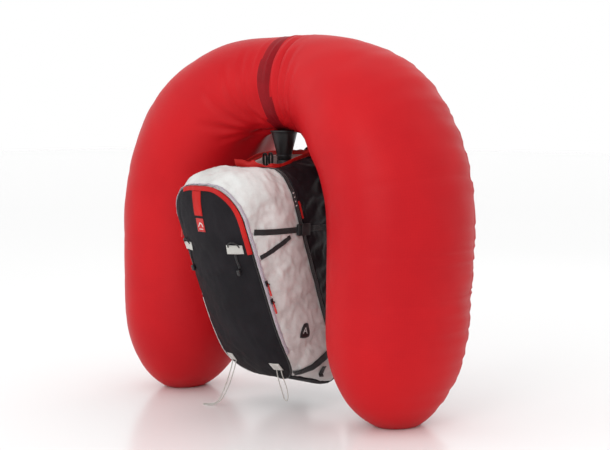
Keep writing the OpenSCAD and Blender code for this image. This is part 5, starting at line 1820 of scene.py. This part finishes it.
# ---------- harness ----------
def cushion(
    name, centre, across, up, out, width, height, thickness, radius, material, body, both=False, grooves=(),
):
    """A sewn pad: a rounded rectangle that swells between its seams."""
    centre, across, up, out = [np.asarray(v, float) for v in (centre, across, up, out)]
    rows, cols = 34, 30
    v, h = np.meshgrid(np.linspace(-1, 1, rows), np.linspace(-1, 1, cols), indexing="ij")
    x, z = h * width / 2, v * height / 2
    corner = np.maximum(np.abs(x) - (width / 2 - radius), 0), np.maximum(np.abs(z) - (height / 2 - radius), 0)
    pull = np.hypot(*corner)
    shrink = np.where(pull > 1e-6, np.minimum(radius / np.maximum(pull, 1e-6), 1), 1)
    x = np.sign(x) * (np.minimum(np.abs(x), width / 2 - radius) + corner[0] * shrink)
    z = np.sign(z) * (np.minimum(np.abs(z), height / 2 - radius) + corner[1] * shrink)
    tall = ((1 - np.abs(h) ** 5) * (1 - np.abs(v) ** 7)).clip(0, 1) ** 0.45
    for axis, at in grooves:
        where = x if axis == "across" else z
        tall = tall * (1 - 0.45 * np.exp(-(((where - at) / 2.6) ** 2)))
    flat = centre + x[..., None] * across + z[..., None] * up
    wave = 1 + 0.05 * lumps(flat, 34.0, 7)
    top = flat + out * (tall * wave * thickness / (2 if both else 1))[..., None]
    back = flat - out * ((tall * thickness / 2) if both else 0 * tall)[..., None]
    n = rows * cols
    faces, border = closed_faces(rows, cols)
    top, back = framed(top), framed(back - out * 0.15)
    uvs = np.vstack([cloth_uvs(top), cloth_uvs(top)])
    pad = object_from(name, np.vstack([top.reshape(-1, 3), back.reshape(-1, 3)]), faces, material, uvs)
    fix_normals(pad)
    weights = np.maximum(edge_weights(rows, cols, 1, 2).ravel(), 0.0)
    simulate_cloth(pad, np.r_[weights, np.ones(n) if not both else weights], 4.0, 0.01, 0.0016, bend=0.5)
    rim = framed(flat).reshape(-1, 3)[border + border[:1]]
    cord = loft(name + "_binding", cord_rings(rim, 1.6 * MM, 8, hint=out + 0.01, ends=False), "binding")
    whole = joined(name + "_whole", [pad, cord])
    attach(whole, body)
    return whole


X1, Y1, Z1 = (1, 0, 0), (0, 1, 0), (0, 0, 1)
back_grid = []
q = bay_section(1)
for v in np.linspace(0, 1, 50):
    z = mix(q[1], q[2], (1 - math.cos(math.pi * v)) / 2)
    w = float(half_width(q, z))
    back_grid.append([[a * w, BACK_Y, z] for a in np.linspace(-1, 1, 36)])
back_grid = np.array(back_grid)
back_grid[..., 1] -= (1 - edge_weights(50, 36, 1, 4)) * (0.5 + 0.6 * lumps(back_grid, 55.0, 12))
back_cloth = sheet_object("back_cloth", framed(back_grid), "black", 0.002)
simulate_cloth(
    back_cloth, np.tile(edge_weights(50, 36, 1, 3).ravel(), len(back_cloth.data.vertices) // 1800), 0.3,
    0.004, 0.0012
)
hand_over(back_cloth, "pack", "black_cloth", "back_panel")

for name, x, z, w, h, r, grooves in (
    ("back_pad_left", -52, 380, 56, 250, 14, [("up", -60), ("up", 0), ("up", 60)]),
    ("back_pad_right", 52, 380, 56, 250, 14, [("up", -60), ("up", 0), ("up", 60)]),
    ("lumbar_pad", 0, 150, 168, 120, 20, [("across", -40), ("across", 40)]),
):
    pad = cushion(name, (x, 45.5, z), X1, Z1, Y1, w, h, 12, r, "mesh", "pack", grooves=grooves)
    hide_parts("back_pads")


def face_normals(path):
    return unit(np.cross([1.0, 0, 0], tangents(path)))


SHOULDER = [
    [52, 53, 578], [53, 78, 592], [57, 104, 580], [62, 122, 545], [65, 130, 500], [66, 132, 460],
    [66, 132, 420], [67, 131, 380],
    [71, 126, 330], [78, 114, 275], [86, 98, 225],
]
TAIL = [[91.5, 83, 184], [94, 74, 163], [96.5, 65.5, 142], [99, 57, 120], [100, 49, 100]]
LIFTER = [[60, 137, 556], [57, 118, 600], [55, 86, 618], [54, 49, 622]]
for mirror, side in ((1, "right"), (-1, "left")):
    flip = np.array([mirror, 1, 1])
    middle = spline(SHOULDER, 110)
    normals = face_normals(middle)
    across = unit(np.cross(tangents(middle), normals))
    run = np.r_[0, np.cumsum(np.linalg.norm(np.diff(middle, axis=0), axis=1))]
    rings = []
    for p, n, b, at in zip(middle, normals, across, run):
        end = min(at, run[-1] - at)
        slim = max(1 - math.exp(-end / 3.0), 0.12)
        w = 30 * (0.94 + 0.06 * min(end / 14, 1))
        ring = []
        for a in np.linspace(0, TAU, 36, endpoint=False):
            c, d = math.cos(a), math.sin(a)
            side_c = math.copysign(abs(c) ** 0.42, c)
            high = math.copysign(abs(d) ** 0.62, d) * 5.5 * slim
            high *= 1 - 0.22 * math.exp(-(((side_c * w) / 2.4) ** 2)) if d > 0 else 1
            ring.append((p + n * (5.5 + high) + b * side_c * w) * flip)
        rings.append(ring)
    rings = np.array(rings)
    pad = loft("shoulder_strap_pad", framed(rings), "front")
    weights = np.zeros(len(pad.data.vertices))
    weights[: 36 * 2], weights[-36 * 2:] = 1, 1
    simulate_cloth(pad, weights, 4.0, 0.008, 0.0014, bend=0.6)
    pieces = [pad]
    for s_edge in (-1, 1):
        edge = np.array(
            [(p + n * 5.5 + b * 30.2 * s_edge) * flip for p, n, b in zip(middle, normals, across)]
        )[1:-1]
        pieces.append(
            round_cord("shoulder_strap_binding", framed(edge), 1.5 * MM, "binding", hint=(1, 0.1, 0.1))
        )
    lane = np.array([(p + n * 10.4) * flip for p, n in zip(middle, normals)])[14:-8]
    pieces.append(
        strap(
            "shoulder_strap_daisy", framed(lane), (normals * flip)[14:-8], 16 * MM, 1.4 * MM, "webbing",
            lift=-0.4 * MM
        )
    )
    for k in range(0, len(lane) - 4, 9):
        tack = np.array([lane[k] + np.array([x, 0, 0]) for x in np.linspace(-8, 8, 6)])
        ways = np.repeat((normals * flip)[14 + k][None], 6, 0)
        pieces.append(
            strap(
                "shoulder_strap_tack", framed(tack), ways, 2.2 * MM, 0.6 * MM, "black_thread", lift=0.9 * MM
            )
        )
    whole = joined("shoulder_strap_" + side, pieces)
    hand_over(whole, "pack", "charcoal_cloth", "shoulder_straps")
    pieces = []
    for points in (TAIL, LIFTER):
        route = spline(points, 40)
        ways = face_normals(route)
        pieces.append(strap("strap_tail_band", framed(route * flip), ways * flip, WEB_W, WEB_T, "webbing"))
    tails = joined("strap_tails_" + side, pieces)
    hand_over(tails, "pack", "black_webbing", "strap_tails")

haul = spline(
    [
        [-17.5, 49.5, 594], [-18.5, 53, 616], [-14, 63, 636], [0, 68, 643], [14, 63, 636], [18.5, 53, 616],
        [17.5, 49.5, 594]
    ],
    60
)
outward = unit(haul - np.array([0, 40, 600]))
outward = unit(outward - tangents(haul) * (outward * tangents(haul)).sum(1, keepdims=True))
haul_band = loft(
    "haul_loop_webbing", strap_rings(framed(haul - outward * 2.0), outward, 12 * MM, 4 * MM), "webbing",
    body="pack"
)
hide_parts("haul_loop")

RAIL_X, RAIL_Y, CHEST_Z = 66.0, 149.4, 430.0
for x in (-RAIL_X, RAIL_X):
    clip = joined("chest_clip_" + ("left" if x < 0 else "right"), [
        placed(
            part_box("clip_part", low, high, 0.9, "plastic"), Matrix.Translation(framed([x, RAIL_Y, CHEST_Z]))
        )
        for low, high in (
            ((-7, 2.7, -12), (7, 6, 12)), ((-7, -4.6, -12), (7, -2.7, 12)),
            ((-7, -4.4, -12), (-2.8, 5.8, 12)),
            ((2.8, -4.4, -12), (7, 5.8, 12)), ((-5, 5.2, -9), (5, 6.6, -7)), ((-5, 5.2, 7), (5, 6.6, 9)),
        )
    ])
    hand_over(clip, "chest_strap", "black_plastic", "chest_clips")
for mirror, side in ((1, "right"), (-1, "left")):
    route = np.array([[mirror * x, RAIL_Y + 1.5, CHEST_Z] for x in np.linspace(2, 58.7, 20)])
    band = strap(
        "chest_webbing_" + side, framed(route), np.repeat([[0, 1.0, 0]], 20, 0), WEB_W, WEB_T, "webbing",
        "chest_strap"
    )
    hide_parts("chest_webbing")
turned = Matrix.Translation(framed([0, RAIL_Y + 4.1, CHEST_Z])) @ Matrix.Rotation(math.pi / 2, 4, "Z")
buckle_half("chest_buckle_socket", True, turned, "chest_strap", "chest_socket")
buckle_half("chest_buckle_plug", False, turned, "chest_release", "chest_plug")

WING_X, WING_Y, WING_Z = 126.0, 59.0, 105.0
for mirror, side in ((1, "right"), (-1, "left")):
    wing = cushion(
        "hip_wing_pad_" + side, (mirror * WING_X, WING_Y + 65, WING_Z), Y1, Z1, (mirror, 0, 0), 130, 80, 13,
        18, "mesh",
        "wing_" + side, both=True, grooves=[("across", -20), ("across", 25)],
    )
    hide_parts("hip_wing_" + side)
    route = np.array(
        [[mirror * (WING_X + 6.9), y, WING_Z] for y in np.linspace(WING_Y + 40, WING_Y + 136, 30)]
    )
    band = strap(
        "hip_band_" + side, framed(route), np.repeat([[mirror, 0, 0.0]], 30, 0), WEB_W, WEB_T, "webbing",
        "wing_" + side
    )
    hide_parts("hip_webbing_" + side)
tip = WING_Y + 130
buckle_half(
    "hip_buckle_socket", True,
    Matrix.Translation(framed([WING_X - 1.5, tip + 26.8, WING_Z])) @ Matrix.Scale(-1, 4, Vector((0, 1, 0))),
    "wing_right", "hip_socket",
)
buckle_half(
    "hip_buckle_plug", False, Matrix.Translation(framed([-WING_X + 1.5, tip + 15.8, WING_Z])) @ mirror_x(),
    "wing_left", "hip_plug"
)

# Trigger handle: a ribbed red bar on a stem, with its wire
HANDLE = np.array([-88.0, 150.4, 322.0])
grip = []
for x in np.linspace(-33, 33, 67):
    end = min(x + 33, 33 - x)
    r = 8 * math.sqrt(
        max(1 - (1 - min(end / 7, 1)) ** 2, 0.02)
    ) - (0.5 if int(abs(x) / 3) % 2 and abs(x) > 9 and end > 4 else 0.0)
    grip.append(
        [HANDLE + [x, r * math.cos(a), r * math.sin(a)] for a in np.linspace(0, TAU, 24, endpoint=False)]
    )


def turned_part(name, profile, material):
    rings = [
        [HANDLE + [r * math.cos(a), r * math.sin(a), z] for a in np.linspace(0, TAU, 20, endpoint=False)]
        for r, z in profile
    ]
    return loft(name, framed(rings), material)


handle = joined("trigger_handle_whole", [
    loft("trigger_grip", framed(grip), "red_plastic"),
    turned_part("trigger_collar", [(5, 6), (6, 8), (6, 16), (5, 18), (3.6, 18.4)], "red_plastic"),
    turned_part("trigger_stem", [(3.55, 4), (3.55, 79), (3.1, 80), (1.3, 80.2)], "red_plastic"),
    turned_part("trigger_wire", [(1.15, 79), (1.15, 106.5)], "steel"),
])
hand_over(handle, "handle", "red_plastic", "trigger_handle")

# ---------- hard parts that keep their drawn shape ----------
KEPT = {
    "plastic": ("strap_adjusters", "chest_rails", "trigger_holder", "ejector_body", "cartridge_cradle"),
    "rubber": ("trigger_cable", "pressure_hose"),
    "aluminium": ("frame_stays", "burst_disc"),
    "white_plastic": ("frame_sheet",),
    "flap": ("ejector_flap",),
    "brass": ("valve_head",),
    "steel": ("striker_pin",),
    "gas": ("cartridge",),
}
kept_finish = {node: finish[kind] for kind, nodes in KEPT.items() for node in nodes}
for obj in list(scene.objects):
    node = obj.get("node") or obj.name
    if node in kept_finish and obj.type == "MESH":
        for slot in obj.material_slots:
            slot.material = kept_finish[node]


# ---------- floor and lights ----------
FLOOR_SIZE, FLOOR_DROP = 40, 0.5 * MM
FLOOR_COLOUR, FLOOR_ROUGHNESS, FLOOR_SPECULAR = (0.93, 0.93, 0.93, 1), 0.2, 0.2
WORLD_COLOUR, WORLD_STRENGTH = (1, 1, 1, 1), 1.0
# Each softbox: its place, aim, width, height and power
SOFTBOXES = {
    "key_softbox": ((1.3, -3.4, 1.9), (0, 0, 0.5), 1.4, 1.4, 30),
    "left_softbox": ((-2.2, -2.6, 1.6), (0, 0, 0.5), 1.4, 2.0, 8),
    "rear_softbox": ((-1.0, 3.0, 2.2), (0, 0, 0.5), 2.4, 1.6, 6),
    "top_softbox": ((0.2, -0.2, 3.2), (0, 0, 0.4), 2.4, 2.4, 4),
}


def floor_finish():
    s = Shader("studio_floor", Specular_IOR_Level=FLOOR_SPECULAR)
    s.surface.inputs["Base Color"].default_value = FLOOR_COLOUR
    s.surface.inputs["Roughness"].default_value = FLOOR_ROUGHNESS
    return s.material


bpy.ops.mesh.primitive_plane_add(size=FLOOR_SIZE, location=(0, 0, -FLOOR_DROP))
floor = bpy.context.object
floor.name = "studio_floor"
floor.data.materials.append(floor_finish())


def softbox(name, place, aim, width, height, power):
    """A rectangular soft light at a place, turned to its aim."""
    data = bpy.data.lights.new(name, "AREA")
    data.shape = "RECTANGLE"
    data.size, data.size_y = width, height
    data.energy = power
    lamp = bpy.data.objects.new(name, data)
    scene.collection.objects.link(lamp)
    lamp.location = place
    lamp.rotation_euler = (Vector(aim) - Vector(place)).to_track_quat("-Z", "Y").to_euler()


for name, lamp in SOFTBOXES.items():
    softbox(name, *lamp)

scene.view_settings.view_transform = "Standard"
world = bpy.data.worlds.new("studio")
scene.world = world
world.use_nodes = True
world.node_tree.nodes["Background"].inputs["Color"].default_value = WORLD_COLOUR
world.node_tree.nodes["Background"].inputs["Strength"].default_value = WORLD_STRENGTH
